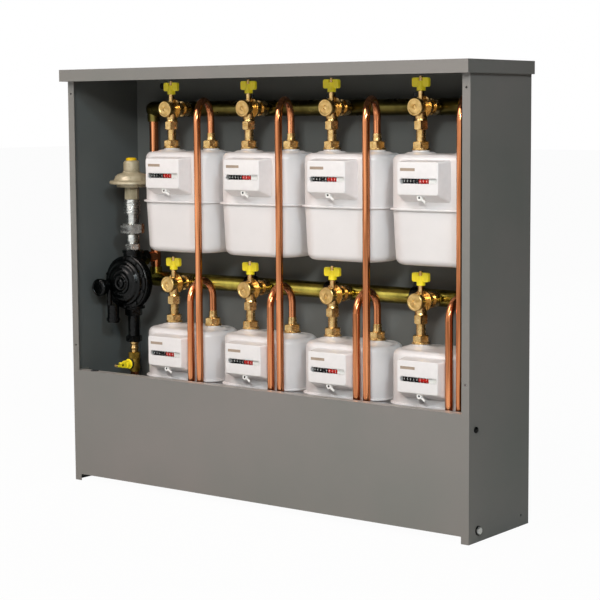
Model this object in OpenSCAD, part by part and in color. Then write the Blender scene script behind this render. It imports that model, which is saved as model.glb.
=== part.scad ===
// Gas distribution box: a sheet steel cabinet with a gas inlet train, two manifolds and two rows of four
// diaphragm gas meters, each with its own valve and copper outlet pipe.
// Origin: centre of the footprint on the floor. +X to the right, +Y to the back, +Z up. Millimetres.

/* [Cabinet] */
// Width over the side panels
cabinet_w = 1016; // [1008:1:1080]
// Depth from the front panel to the back of the rear flanges
cabinet_d = 220; // [216:1:235]
// Height from the floor to the top of the lid
cabinet_h = 896; // [890:1:960]
// Thickness of the sheet steel
sheet = 1.5; // [1.2:0.1:2]
// Width of the front posts
post_w = 17; // [15:0.5:20]
// Width of the flanges at the back and top of the side panels
side_flange_w = 15; // [11:1:18]
// Height of the feet below the front panel
foot_h = 14; // [10:1:20]
// Height of the lower front panel
front_panel_h = 231; // [215:1:240]
// Depth of the return along the top of the front panel
top_return_d = 20; // [19:0.5:22]
// Depth of the returns at the sides of the front panel
side_return_d = 44; // [42:1:50]
// Height of the lip that turns down from the top return
return_lip_h = 10; // [6:1:14]
// Height of the skirt of the lid
lid_skirt_h = 25; // [18:1:30]
// Overhang of the lid at the front
lid_front = 19; // [12:1:26]
// Overhang of the lid at each side
lid_side = 7; // [7:0.5:12]

/* [Fixings] */
// Diameter of the cover fixing holes in the posts
post_hole_d = 4.5; // [3.5:0.1:5.5]
// Height of the lower cover fixing holes
post_hole_low_z = 300; // [290:1:320]
// Distance of the upper cover fixing holes below the top of the lid
post_hole_drop = 51; // [46:1:76]
// Diameter of the wall fixing holes in the back panel
wall_hole_d = 9; // [7:0.5:11]
// Distance between the wall fixing holes, across
wall_hole_dx = 860; // [820:1:880]
// Height of the lower wall fixing holes
wall_hole_low_z = 110; // [80:1:120]
// Distance of the upper wall fixing holes below the top of the lid
wall_hole_drop = 34; // [30:1:44]
// Diameter of the pan head screws that hold the front panel
screw_d = 6; // [5:0.5:6]
// Distance of the pan head screws from the front
screw_y = 23; // [20:1:26]
// Distance of the pan head screws below the top of the front panel
screw_drop = 31; // [24:1:40]
// Diameter of the earth bolts
earth_bolt_d = 8; // [6:0.5:8]
// Distance of the earth bolts from the front
earth_bolt_y = 32; // [30:1:34]
// Height of the earth bolts above the bottom of the front panel
earth_bolt_rise = 8; // [7:0.5:12]
// Diameter of the anchor holes low at the back of the side panels
anchor_hole_d = 5; // [4:0.5:7]
// Diameter of the cable grommet
grommet_d = 18; // [15:0.5:18]
// Distance of the grommet from the left side
grommet_x = 54; // [48:1:60]

/* [Meters] */
// Gap between the relief valve and the first meter's casing
train_gap = 24.5; // [22:0.5:26]
// Gap between two casings of a row
meter_gap = 19; // [18:0.5:24]
// Gap between the last casing and the right side panel
right_gap = 30; // [22:0.5:34]
// Distance between the inlet and the outlet of a meter
connection_w = 110; // [106:0.5:112]
// Gap between the lid and the handles of the upper row
lid_gap = 26; // [22:0.5:34]
// Gap between the upper row's casings and the handles of the lower row
row_gap = 15; // [12:0.5:20]
// Casing in front of the connections
casing_front = 63; // [60:0.5:64]
// Casing behind the connections
casing_back = 67; // [60:1:74]
// Radius of the casing's front corners, seen from above
casing_front_r = 42; // [30:1:46]
// Radius of the casing's back corners, seen from above
casing_back_r = 58; // [45:1:60]
// Height of the top casing above the rim
top_casing_h = 105; // [100:1:108]
// Height of the bottom casing below the rim
bottom_casing_h = 107; // [95:1:110]
// Radius of the top edge of the top casing
top_edge_r = 12; // [8:0.5:16]
// Radius of the bottom edge of the bottom casing
bottom_edge_r = 20; // [12:0.5:24]
// How far each side of the bottom casing draws in towards its bottom
casing_draft = 4; // [0:0.5:6]
// Thickness of the casing
casing_wall = 1.5; // [1:0.1:2]
// Overhang of the crimped rim
rim_w = 5.5; // [4.5:0.1:6]
// Diameter of the connection bosses
boss_d = 33; // [31:0.5:36]
// Height of the connection bosses above the casing
boss_h = 7; // [6:0.5:9]
// Outer diameter of the threaded spigots
spigot_d = 26.4; // [24:0.1:27]

/* [Index] */
// Half width of the index cover at its face
index_face_half_w = 45; // [44:0.5:46]
// Half width of the index cover at the casing
index_base_half_w = 53; // [52:0.5:54]
// Drop of the top of the index cover from the casing to its face
index_top_slope = 5; // [0:0.5:8]
// How far the index cover stands out of the casing
index_depth = 30; // [28:0.5:31]
// Top of the index cover below the connections
index_top_drop = 17; // [15:0.5:20]
// Height of the face of the index cover
index_face_h = 59; // [54:0.5:60]
// Height of the sloping foot of the index cover
index_foot_h = 15; // [10:0.5:16]
// Wall of the index cover
index_wall = 2.5; // [2:0.1:3]
// Half length of the counter window
window_half_w = 41; // [40:0.5:42]
// Height of the counter window
window_h = 9.5; // [8.5:0.1:11]
// Middle of the counter window below the connections
window_drop = 56; // [52:0.5:60]
// Diameter of the counter wheels
wheel_d = 14; // [12:0.5:15]
// Distance between two counter wheels
wheel_pitch = 7.2; // [7:0.05:7.4]
// Gap between two counter wheels
wheel_gap = 0.5; // [0.3:0.1:0.8]
// Diameter of the counter shaft
counter_shaft_d = 3; // [2.5:0.1:3.5]

/* [Manifolds and valves] */
// Outer diameter of the manifolds
manifold_d = 34; // [32:0.5:36]
// Wall of the manifolds
manifold_wall = 2.6; // [2:0.1:3.5]
// Distance from the back panel to the manifold's axis
manifold_standoff = 32; // [30:0.5:34]
// Gap between the right hand end of the manifolds and the side panel
manifold_end_gap = 14; // [12:1:30]
// Distance from the manifold's axis to the meter connections
valve_reach = 70; // [68:0.5:74]
// Height of the meter valves above the meter connections
valve_rise = 83; // [80:0.5:85]
// Diameter of the barrel of the meter valves
barrel_d = 30; // [28:0.5:31]
// Diameter of the round cap on the front of each valve
end_cap_d = 35; // [33:0.5:38]
// Diameter of the ball of the meter valves
ball_d = 19; // [16:0.5:20]
// Diameter of the spindle of the meter valves
spindle_d = 8; // [7:0.5:9]
// Length of the butterfly handles
butterfly_l = 38; // [34:0.5:46]
// Height of the wings of the butterfly handles
butterfly_h = 16; // [12:0.5:17]
// Thickness of the wings of the butterfly handles
butterfly_t = 7; // [5:0.5:9]
// Width across flats of the union nuts
union_af = 30; // [29.5:0.5:32]
// Height of the union nuts
union_h = 17; // [16:0.5:18]
// Outer diameter of the tail between a union nut and a valve
tail_d = 19; // [17:0.5:20]

/* [Outlet pipes] */
// Outer diameter of the copper outlet pipes
outlet_pipe_d = 15; // [12:0.5:15]
// Wall of the copper pipes
pipe_wall = 1; // [0.8:0.1:1.5]
// Distance from the meter connections forward to the front legs
front_leg_reach = 79; // [78.5:0.5:80]
// Sideways shift of the upper row's front legs
upper_leg_shift = 29; // [25:0.5:31]
// Sideways shift of the lower row's front legs
lower_leg_shift = 5; // [4.5:0.5:7]
// Height of the top of the bends above the meter connections
bend_rise = 99; // [94:0.5:100]
// Height of the free ends of the outlet pipes
outlet_end_z = 24; // [16:1:60]

/* [Inlet train] */
// Distance from the left side to the inlet train
train_x = 80; // [78:0.5:82]
// Distance from the inlet train back to the link pipe
link_reach = 75; // [70:1:78]
// Outer diameter of the link pipe between the manifolds
link_pipe_d = 20; // [18:0.5:22]
// Outer diameter of the gas inlet pipe
inlet_pipe_d = 18; // [15:0.5:20]
// Height of the free end of the gas inlet pipe
inlet_end_z = 18; // [12:1:60]
// Distance of the inlet valve below the regulator's axis
inlet_valve_drop = 181; // [178:1:184]
// Turn of the inlet valve's spindle from straight forward to the left
inlet_valve_turn = 0; // [-20:1:30]
// Height of the regulator's axis above the lower row's connections
regulator_rise = 82; // [80:1:84]
// Diameter of the regulator's diaphragm flanges
regulator_d = 116; // [110:1:120]
// Distance of the adjusting cap's axis inside the left rim of the regulator
adjuster_inset = 17; // [15:0.5:22]
// Distance of the adjusting cap below the regulator's axis
adjuster_drop = 10; // [8:0.5:12]
// Diameter of the adjusting cap
adjuster_d = 38; // [35:0.5:40]
// Diameter of the relief valve's diaphragm housing
relief_d = 97; // [88:1:100]
// Travel of the reset button
reset_travel = 3; // [2:0.5:4]

/* [Hidden] */
$fn = 48;
columns = 4;
fit = 0.05;            // radial running clearance
slack = 0.3;           // clearance between moving pieces that don't guide each other
seat = 0.1;            // clearance between a piece and the hole it is put through
cut = 1;               // how far a cutting shape runs past the face that it cuts
long = 400;            // longer than any casing

left_x = -cabinet_w/2;
right_x = cabinet_w/2;
front_y = -(cabinet_d - lid_front)/2;
back_y = front_y + cabinet_d;
back_panel_y = back_y - 2*sheet;
lid_under_z = cabinet_h - sheet;
post_hole_high_z = cabinet_h - post_hole_drop;
wall_hole_high_z = cabinet_h - wall_hole_drop;
front_panel_top = foot_h + front_panel_h;
screw_z = front_panel_top - screw_drop;
earth_bolt_z = foot_h + earth_bolt_rise;
grommet_hole_d = grommet_d - 4;

hub_d = 17;
hub_h = 9;
gland_h = 15;
hub_z = barrel_d/2 + gland_h + 1;
spindle_top = hub_z + hub_h + butterfly_h + 3;

manifold_y = back_panel_y - manifold_standoff;
meter_y = manifold_y - valve_reach;
casings_left = train_x + relief_d/2 + train_gap;
casing_w = (cabinet_w - casings_left - right_gap - (columns - 1)*meter_gap)/columns;
meter_pitch = casing_w + meter_gap;
first_inlet_x = left_x + casings_left + (casing_w - connection_w)/2;
handles_rise = valve_rise + spindle_top;
upper_row_z = cabinet_h - lid_gap - handles_rise;
lower_row_z = upper_row_z - boss_h - top_casing_h - bottom_casing_h - row_gap - handles_rise;
row_z = [upper_row_z, lower_row_z];
function inlet_x(i) = first_inlet_x + meter_pitch*i;
function meter_at(row, i) = [inlet_x(i) + connection_w/2, meter_y, row_z[row]];
function inlet_at(row, i) = [inlet_x(i), meter_y, row_z[row]];
function outlet_at(row, i) = [inlet_x(i) + connection_w, meter_y, row_z[row]];

casing_depth = casing_front + casing_back;
casing_mid_y = (casing_back - casing_front)/2;
rim_z = -boss_h - top_casing_h;
plateau_h = 3.5;
plateau_d = casing_w - connection_w - 15;
unit_side_gap = 25;
spigot_h = 10;
gas_bore_d = 16;
window_bevel = 1.2;
crimp_w = 1;
crimp_h = 3.5;

index_face_y = -casing_front - index_depth;
index_top_z = -index_top_drop;
index_face_low_z = index_top_z - index_top_slope - index_face_h;
index_low_z = index_face_low_z - index_foot_h;
index_corner_r = 7;
window_t = 1;
wheel_y = index_face_y + index_wall + slack + wheel_d/2;
wheels = 8;
fixed_wheels = wheels - 1;
wheels_w = wheels*wheel_pitch;
wheels_left = -window_half_w + 4;
cheek_t = 2;
counter_plate_t = 3;
frame_half_w = window_half_w + 1;

union_rim_d = 36;
union_rim_h = 3.5;
union_lid_t = 3;
collar_h = union_h - union_lid_t - spigot_h;
collar_d = spigot_d - 1;
tail_hex_af = 25;
tail_hex_z = 39;
tail_hex_h = 18;
neck_d = 24;
body_ring_d = 43;
neck_h = body_ring_d/2 + 0.5;
tail_top_z = valve_rise - neck_h;
gland_d = 12.5;
body_front = 15;
end_cap_t = 8.5;
stub_h = 6;
valve_back = valve_reach - manifold_d/2 - stub_h;
elbow_h = 10;
elbow_seat = 6;
body_ring_t = 5;
body_ring_y = 4;
valve_bore_d = 12;

outlet_tail_h = 15;
socket_d = outlet_pipe_d + 2.4;
function leg_shift(row) = row == 0 ? upper_leg_shift : lower_leg_shift;
function leg_span(row) = norm([leg_shift(row), front_leg_reach]);

train_y = manifold_y - link_reach;
train = [left_x + train_x, train_y, 0];
inlet_valve_half = 12;
inlet_body_d = inlet_pipe_d + 6;
inlet_gland_y = inlet_body_d/2 + 2;
inlet_hex_h = 13;
inlet_socket_h = 6;
inlet_ball_d = 18;
regulator_z = lower_row_z + regulator_rise;
inlet_valve_z = regulator_z - inlet_valve_drop;
inlet_union_z = inlet_valve_z + inlet_valve_half + inlet_hex_h;
inlet_union_h = 23;
reg_pipe_z = inlet_union_z + inlet_union_h;
reg_pipe_d = 26;
reg_bore_d = valve_bore_d + 4;
reg_front = 14;
reg_outlet_l = 42;
cover_land_z = 12;
adjuster_l = 56;
adjuster_dx = regulator_d/2 - adjuster_inset;
column_d = 42;
column_low = regulator_z - regulator_d/2 - 1;
column_top = regulator_z + regulator_d/2 + 12;
riser_bore_d = valve_bore_d + 2;
link_tee_z = column_top - 19;
riser_nipple_h = 36;
union_nut_z = column_top + riser_nipple_h;
union_nut_af = 47;
union_nut_h = 22;
riser_nipple_d = 24;
coupling_h = 75;
relief_z = union_nut_z + coupling_h;
relief_h = 62;
bonnet_z = relief_z + relief_h;
bonnet_h = 23;
bonnet_d = 35;
reset_d = 23;
reset_h = 6;
reset_seat_h = 10;

clip_band = 2.5;
clip_w = 20;
clip_x = 160;

steel_grey = "#8a847e";
meter_white = "#e9e4e4";
brass = "#c8a05a";
copper = "#b5704a";
cast_black = "#15191b";
zinc = "#b9bcbe";
beige = "#a79c80";
yellow = "#e6d92a";

// A box between two opposite corners
module block(low, high) { translate(low) cube(high - low); }

// Round bars along each axis, starting at the point given
module bar_x(at, d, l) { translate(at) rotate([0, 90, 0]) cylinder(h = l, d = d); }
module bar_y(at, d, l) { translate(at) rotate([-90, 0, 0]) cylinder(h = l, d = d); }
module bar_z(at, d, l) { translate(at) cylinder(h = l, d = d); }

// A hexagon bar along Z with both ends turned to a chamfer
module hex_bar(at, af, h) {
  face_r = 0.475*af;
  corner_r = af/2/cos(30) + 0.1;
  chamfer = 0.6*(corner_r - face_r);
  translate(at) intersection() {
    cylinder(h = h, r = af/2/cos(30), $fn = 6);
    rotate_extrude() polygon([
      [0, 0], [face_r, 0], [corner_r, chamfer], [corner_r, h - chamfer], [face_r, h], [0, h]]);
  }
}

// Cabinet

// One side panel, bent from one sheet; side is -1 for the left and 1 for the right
module side_panel(side) {
  mirror([side < 0 ? 0 : 1, 0, 0]) difference() {
    union() {
      block([left_x, front_y, 0], [left_x + sheet, back_y, lid_under_z]);
      block([left_x, front_y, 0], [left_x + post_w, front_y + sheet, lid_under_z]);
      block([left_x, back_y - sheet, 0], [left_x + side_flange_w, back_y, lid_under_z]);
      block([left_x, front_y + sheet + side_flange_w, lid_under_z - sheet],
            [left_x + side_flange_w, back_panel_y - side_flange_w, lid_under_z]);
    }
    block([left_x - cut, front_y - cut, foot_h], [left_x + post_w + cut, front_y + sheet, front_panel_top]);
    for (z = [post_hole_low_z, post_hole_high_z])
      bar_y([left_x + post_w/2, front_y - cut, z], post_hole_d, sheet + 2*cut);
    bar_x([left_x - cut, front_y + screw_y, screw_z], screw_d + 2*seat, sheet + 2*cut);
    bar_x([left_x - cut, front_y + earth_bolt_y, earth_bolt_z], earth_bolt_d + 2*seat, sheet + 2*cut);
    bar_x([left_x - cut, back_y - 29, 21], anchor_hole_d, sheet + 2*cut);
  }
}
module left_side_panel() { color(steel_grey) side_panel(-1); }
module right_side_panel() { color(steel_grey) side_panel(1); }

module back_panel() {
  x = right_x - sheet;
  return_d = side_flange_w;
  color(steel_grey) difference() {
    union() {
      block([-x, back_panel_y, 0], [x, back_panel_y + sheet, lid_under_z]);
      for (z = [0, lid_under_z - sheet])
        block([-x, back_panel_y - return_d, z], [x, back_panel_y, z + sheet]);
    }
    for (side = [-1, 1], z = [wall_hole_low_z, wall_hole_high_z])
      bar_y([side*wall_hole_dx/2, back_panel_y - cut, z], wall_hole_d, sheet + 2*cut);
  }
}

module lid() {
  low = [left_x - lid_side, front_y - lid_front, cabinet_h - lid_skirt_h];
  high = [right_x + lid_side, back_y, cabinet_h];
  color(steel_grey) difference() {
    block(low, high);
    block(low + [sheet, sheet, -cut], high + [-sheet, cut, -sheet]);
  }
}

module front_panel() {
  x = right_x - sheet;
  y = front_y + top_return_d;
  color(steel_grey) difference() {
    union() {
      block([left_x, front_y, foot_h], [right_x, front_y + sheet, front_panel_top]);
      block([-x, front_y, front_panel_top - sheet], [x, y, front_panel_top]);
      block([-x + sheet, y - sheet, front_panel_top - return_lip_h], [x - sheet, y, front_panel_top]);
      for (side = [0, 1]) mirror([side, 0, 0])
        block([-x, front_y, foot_h], [-x + sheet, front_y + side_return_d, front_panel_top]);
      block([-x, front_y, foot_h], [x, front_y + side_flange_w, foot_h + sheet]);
    }
    for (side = [0, 1]) mirror([side, 0, 0]) {
      bar_x([-x - cut, front_y + screw_y, screw_z], screw_d + 2*seat, sheet + 2*cut);
      bar_x([-x - cut, front_y + earth_bolt_y, earth_bolt_z], earth_bolt_d + 2*seat, sheet + 2*cut);
    }
    bar_z([left_x + grommet_x, front_y + top_return_d/2, front_panel_top - sheet - cut],
          grommet_hole_d, sheet + 2*cut);
  }
}

// Rubber ring with a groove that holds the edge of the hole
module cable_grommet() {
  lip = 1.5;
  color("#202020") translate([left_x + grommet_x, front_y + top_return_d/2, front_panel_top - sheet])
    rotate_extrude() polygon([
      [grommet_d/2 - 5, -lip], [grommet_d/2 - 1, -lip], [grommet_d/2 - 0.5, 0],
      [grommet_hole_d/2 - seat, 0], [grommet_hole_d/2 - seat, sheet], [grommet_d/2, sheet],
      [grommet_d/2 - 1, sheet + lip], [grommet_d/2 - 5, sheet + lip]]);
}

// Pan head screws through the side panels and the front panel's returns, each with its nut inside
module panel_screws() {
  head_d = 2*screw_d;
  head_h = 4;
  nut_h = 5;
  color(zinc) for (side = [0, 1]) mirror([side, 0, 0])
    translate([left_x, front_y + screw_y, screw_z]) rotate([0, 90, 0]) {
      rotate_extrude() polygon([
        [0, -head_h], [head_d/2 - 2.5, -head_h], [head_d/2 - 1, -head_h + 0.8], [head_d/2, -head_h + 2],
        [head_d/2, 0], [screw_d/2, 0], [screw_d/2, 2*sheet + nut_h + 2], [0, 2*sheet + nut_h + 2]]);
      translate([0, 0, 2*sheet]) difference() {
        hex_bar([0, 0, 0], 1.7*screw_d, nut_h);
        translate([0, 0, -cut]) cylinder(h = nut_h + 2*cut, d = screw_d + 2*fit);
      }
    }
}

// Earthing bolts low on the sides: washer and hexagon head outside, nut inside
module earth_bolts() {
  washer_d = 18;
  washer_t = 1.6;
  head_h = 4.4;
  nut_h = 6;
  color(zinc) for (side = [0, 1]) mirror([side, 0, 0])
    translate([left_x, front_y + earth_bolt_y, earth_bolt_z]) rotate([0, 90, 0]) {
      difference() {
        translate([0, 0, -washer_t]) cylinder(h = washer_t, d = washer_d);
        translate([0, 0, -washer_t - cut]) cylinder(h = washer_t + 2*cut, d = earth_bolt_d + 2*fit);
      }
      hex_bar([0, 0, -washer_t - fit - head_h], 1.6*earth_bolt_d, head_h);
      translate([0, 0, -washer_t - cut]) cylinder(h = washer_t + 2*sheet + nut_h + 2 + cut, d = earth_bolt_d);
      translate([0, 0, 2*sheet]) difference() {
        hex_bar([0, 0, 0], 1.6*earth_bolt_d, nut_h);
        translate([0, 0, -cut]) cylinder(h = nut_h + 2*cut, d = earth_bolt_d + 2*fit);
      }
    }
}

// Manifolds

// One manifold tube with a stub at each meter, an end plug and an elbow down or up to the link pipe
module manifold(row) {
  z = row_z[row] + valve_rise;
  x0 = train[0];
  x1 = right_x - sheet - manifold_end_gap;
  plug_l = 12;
  bore_d = manifold_d - 2*manifold_wall;
  elbow_l = manifold_d/2 + elbow_h;
  color("#8d8430") difference() {
    union() {
      bar_x([x0, manifold_y, z], manifold_d, x1 - x0);
      bar_x([x1 - plug_l, manifold_y, z], manifold_d + 5, plug_l);
      for (i = [0:columns - 1])
        bar_y([inlet_x(i), manifold_y - manifold_d/2 - stub_h, z], barrel_d - 4, manifold_d/2 + stub_h);
      translate([x0, manifold_y, z]) sphere(d = manifold_d);
      translate([x0, manifold_y, z]) mirror([0, 0, 1 - row]) bar_z([0, 0, 0], link_pipe_d + 8, elbow_l);
    }
    bar_x([x0, manifold_y, z], bore_d, x1 - x0 - plug_l);
    for (i = [0:columns - 1])
      bar_y([inlet_x(i), manifold_y - manifold_d/2 - stub_h - cut, z], valve_bore_d, manifold_d/2 + stub_h + cut);
    translate([x0, manifold_y, z]) sphere(d = bore_d);
    translate([x0, manifold_y, z]) mirror([0, 0, 1 - row]) {
      bar_z([0, 0, 0], link_pipe_d - 4, elbow_l);
      bar_z([0, 0, manifold_d/2 - elbow_seat], link_pipe_d + 2*seat, elbow_h + elbow_seat + cut);
    }
  }
}
module upper_manifold() { manifold(0); }
module lower_manifold() { manifold(1); }

// Pipe clips: a band round the manifold, a stud and a round foot on the back panel
module manifold_clips() {
  color(zinc) for (row = [0, 1], i = [0:columns - 2])
    translate([inlet_x(i) + clip_x, manifold_y, row_z[row] + valve_rise]) {
      difference() {
        union() {
          bar_x([-clip_w/2, 0, 0], manifold_d + 2*clip_band + 2*seat, clip_w);
          for (side = [-1, 1])
            block([-clip_w/2, -1.5, side*(manifold_d/2 + 6) - 6],
                  [clip_w/2, 1.5, side*(manifold_d/2 + 6) + 6]);
        }
        bar_x([-clip_w/2 - cut, 0, 0], manifold_d + 2*seat, clip_w + 2*cut);
      }
      bar_y([0, manifold_d/2 + 1, 0], 8, manifold_standoff - manifold_d/2 - 1);
      bar_y([0, manifold_standoff - 3, 0], 28, 3);
    }
}

// Copper pipe between the two manifolds, with the tee that brings the gas from the regulator
module link_pipe() {
  low = lower_row_z + valve_rise + manifold_d/2 - elbow_seat;
  high = upper_row_z + valve_rise - manifold_d/2 + elbow_seat;
  branch_l = link_reach - reg_outlet_l;
  tee_h = 40;
  color(copper) difference() {
    union() {
      bar_z([train[0], manifold_y, low], link_pipe_d, high - low);
      bar_z([train[0], manifold_y, link_tee_z - tee_h/2], link_pipe_d + 3, tee_h);
      bar_y([train[0], manifold_y - branch_l, link_tee_z], link_pipe_d + 3, branch_l);
    }
    bar_z([train[0], manifold_y, low - cut], link_pipe_d - 2*pipe_wall, high - low + 2*cut);
    bar_y([train[0], manifold_y - branch_l - cut, link_tee_z], link_pipe_d - 2*pipe_wall, branch_l + cut);
  }
}

// Meter valves

// Each valve is a brass angle body: in from the manifold behind, out to the meter below, spindle on top
module valve_bodies() {
  back_ring_l = 16;
  color(brass) for (row = [0, 1], i = [0:columns - 1])
    translate(inlet_at(row, i) + [0, 0, valve_rise]) difference() {
      union() {
        bar_y([0, -body_front, 0], barrel_d, body_front + 12);
        bar_y([0, 0, 0], barrel_d - 4, valve_back);
        bar_y([0, body_ring_y, 0], body_ring_d, body_ring_t);
        bar_y([0, valve_back - back_ring_l, 0], barrel_d + 2, back_ring_l);
        bar_z([0, 0, -neck_h], neck_d, neck_h);
        bar_z([0, 0, 0], gland_d, barrel_d/2 + gland_h);
      }
      sphere(d = ball_d + 2*slack);
      bar_z([0, 0, 0], spindle_d + 2*fit, barrel_d/2 + gland_h + cut);
      bar_z([0, 0, -neck_h - cut], valve_bore_d, neck_h);
      bar_y([0, 0, 0], valve_bore_d, valve_back + cut);
    }
}

// Round caps that close the front of the barrels, with a turned face and a slot
module valve_end_caps() {
  face_r = end_cap_d/2;
  color(brass) for (row = [0, 1], i = [0:columns - 1])
    translate(inlet_at(row, i) + [0, -body_front, valve_rise]) rotate([90, 0, 0]) difference() {
      rotate_extrude() polygon([
        [0, 0], [face_r - 2, 0], [face_r - 2, 1.5], [face_r, 2.5], [face_r, end_cap_t - 1.5],
        [face_r - 1.5, end_cap_t], [face_r - 4, end_cap_t], [face_r - 5, end_cap_t - 0.8],
        [5, end_cap_t - 0.8], [4, end_cap_t - 2.5], [0, end_cap_t - 3]]);
      block([-10, -1, end_cap_t - 1.6], [10, 1, end_cap_t + cut]);
    }
}

// Tails from the union nuts up to the valves: collar, tube, hexagon and cone
module valve_tails() {
  color(brass) for (row = [0, 1], i = [0:columns - 1])
    translate(inlet_at(row, i)) difference() {
      union() {
        rotate_extrude() polygon([
          [0, spigot_h], [collar_d/2, spigot_h], [collar_d/2, spigot_h + collar_h - slack],
          [tail_d/2, spigot_h + collar_h - slack], [tail_d/2, tail_hex_z + 4], [neck_d/2, tail_hex_z + 6],
          [neck_d/2, tail_top_z - 4], [neck_d/2 - 1, tail_top_z], [0, tail_top_z]]);
        hex_bar([0, 0, tail_hex_z], tail_hex_af, tail_hex_h);
      }
      bar_z([0, 0, spigot_h - cut], valve_bore_d, tail_top_z - spigot_h + 2*cut);
    }
}

// Union nuts over the threaded spigots of the meters, at each inlet and outlet
module union_nut() {
  difference() {
    union() {
      bar_z([0, 0, 0], union_rim_d, union_rim_h);
      hex_bar([0, 0, union_rim_h - cut], union_af, union_h - union_rim_h + cut);
    }
    bar_z([0, 0, -cut], spigot_d + 2*seat, union_h - union_lid_t + cut);
    bar_z([0, 0, 0], tail_d + 2*slack, union_h + cut);
  }
}
module union_nuts() {
  color(brass) for (row = [0, 1], i = [0:columns - 1]) {
    translate(inlet_at(row, i)) union_nut();
    translate(outlet_at(row, i)) union_nut();
  }
}

// Outlet tails: a collar under the nut and a soldered socket for the copper pipe
module outlet_tails() {
  color(brass) for (row = [0, 1], i = [0:columns - 1])
    translate(outlet_at(row, i)) difference() {
      rotate_extrude() polygon([
        [0, spigot_h], [collar_d/2, spigot_h], [collar_d/2, spigot_h + collar_h - slack],
        [tail_d/2, spigot_h + collar_h - slack], [tail_d/2, union_h + 1],
        [socket_d/2, union_h + outlet_tail_h - 6], [socket_d/2, union_h + outlet_tail_h],
        [0, union_h + outlet_tail_h]]);
      bar_z([0, 0, union_h - 2], outlet_pipe_d + 2*fit, outlet_tail_h + 2 + cut);
      bar_z([0, 0, spigot_h - cut], valve_bore_d, union_h);
    }
}

// Copper pipe from a meter outlet, over a bend and down in front of the meters. The bend's radius is rounded
// to 0.01 mm, so that its ends meet the straight lengths exactly
module outlet_pipe(row) {
  start_z = union_h - 2;
  bend_r = round(50*leg_span(row))/100;
  bend_z = bend_rise - bend_r;
  turn = atan2(-front_leg_reach, leg_shift(row));
  end_z = outlet_end_z - row_z[row];
  rotate([0, 0, turn]) difference() {
    union() {
      bar_z([0, 0, start_z], outlet_pipe_d, bend_z - start_z);
      translate([bend_r, 0, bend_z]) rotate([90, 0, 0])
        rotate_extrude(angle = 180) translate([bend_r, 0]) circle(d = outlet_pipe_d);
      bar_z([2*bend_r, 0, end_z], outlet_pipe_d, bend_z - end_z);
    }
    bar_z([0, 0, start_z - cut], outlet_pipe_d - 2*pipe_wall, bend_z - start_z + cut);
    translate([bend_r, 0, bend_z]) rotate([90, 0, 0])
      rotate_extrude(angle = 180) translate([bend_r, 0]) circle(d = outlet_pipe_d - 2*pipe_wall);
    bar_z([2*bend_r, 0, end_z - cut], outlet_pipe_d - 2*pipe_wall, bend_z - end_z + cut);
  }
}
module upper_outlet_pipes() {
  color(copper) for (i = [0:columns - 1]) translate(outlet_at(0, i)) outlet_pipe(0);
}
module lower_outlet_pipes() {
  color(copper) for (i = [0:columns - 1]) translate(outlet_at(1, i)) outlet_pipe(1);
}

// Meters. Each is drawn round the middle of its two connections, with its connections at z = 0

// The casing seen from above, larger by grow all round
module casing_plan(grow) {
  half = casing_w/2 + grow;
  front = -casing_front - grow;
  back = casing_back + grow;
  rf = casing_front_r + grow;
  rb = casing_back_r + grow;
  translate([-half, front + rf]) square([2*half, back - rb - front - rf]);
  translate([-half + rf, front]) square([2*(half - rf), rf]);
  translate([-half + rb, back - rb]) square([2*(half - rb), rb]);
  for (side = [-1, 1]) {
    translate([side*(half - rf), front + rf]) circle(r = rf);
    translate([side*(half - rb), back - rb]) circle(r = rb);
  }
}

// A flat profile that stands on the X axis, with rounded shoulders and sides that draw in
module shoulder_profile(half, h, r, draft) {
  polygon([[-half, 0], [half, 0], [half - draft, h - r], [draft - half, h - r]]);
  translate([-half + draft + r, 0]) square([2*(half - draft - r), h]);
  for (side = [-1, 1]) translate([side*(half - draft - r), h - r]) circle(r = r);
}

// A pressed bowl that stands on z = 0: the plan, cut to rounded shoulders from the front and the side
module pressing(h, r, draft, grow) {
  intersection() {
    linear_extrude(h + grow) casing_plan(grow);
    rotate([90, 0, 0]) translate([0, 0, -long/2]) linear_extrude(long)
      shoulder_profile(casing_w/2 + grow, h + grow, r + grow, draft);
    rotate([90, 0, 90]) translate([casing_mid_y, 0, -long/2]) linear_extrude(long)
      shoulder_profile(casing_depth/2 + grow, h + grow, r + grow, draft);
  }
}

module top_casing() {
  difference() {
    union() {
      translate([0, 0, rim_z]) pressing(top_casing_h, top_edge_r, 0, 0);
      translate([0, 0, rim_z]) linear_extrude(casing_wall) casing_plan(rim_w - crimp_w - seat);
      for (side = [-1, 1]) translate([side*connection_w/2, 0, 0]) {
        translate([0, 0, -boss_h]) cylinder(h = plateau_h, d1 = plateau_d, d2 = plateau_d - 18);
        bar_z([0, 0, -boss_h], boss_d, boss_h);
        bar_z([0, 0, -boss_h], spigot_d, boss_h + spigot_h);
      }
    }
    translate([0, 0, rim_z - cut]) pressing(top_casing_h + cut, top_edge_r, 0, -casing_wall);
    for (side = [-1, 1]) bar_z([side*connection_w/2, 0, -boss_h - cut - casing_wall], gas_bore_d, long);
  }
}

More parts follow.
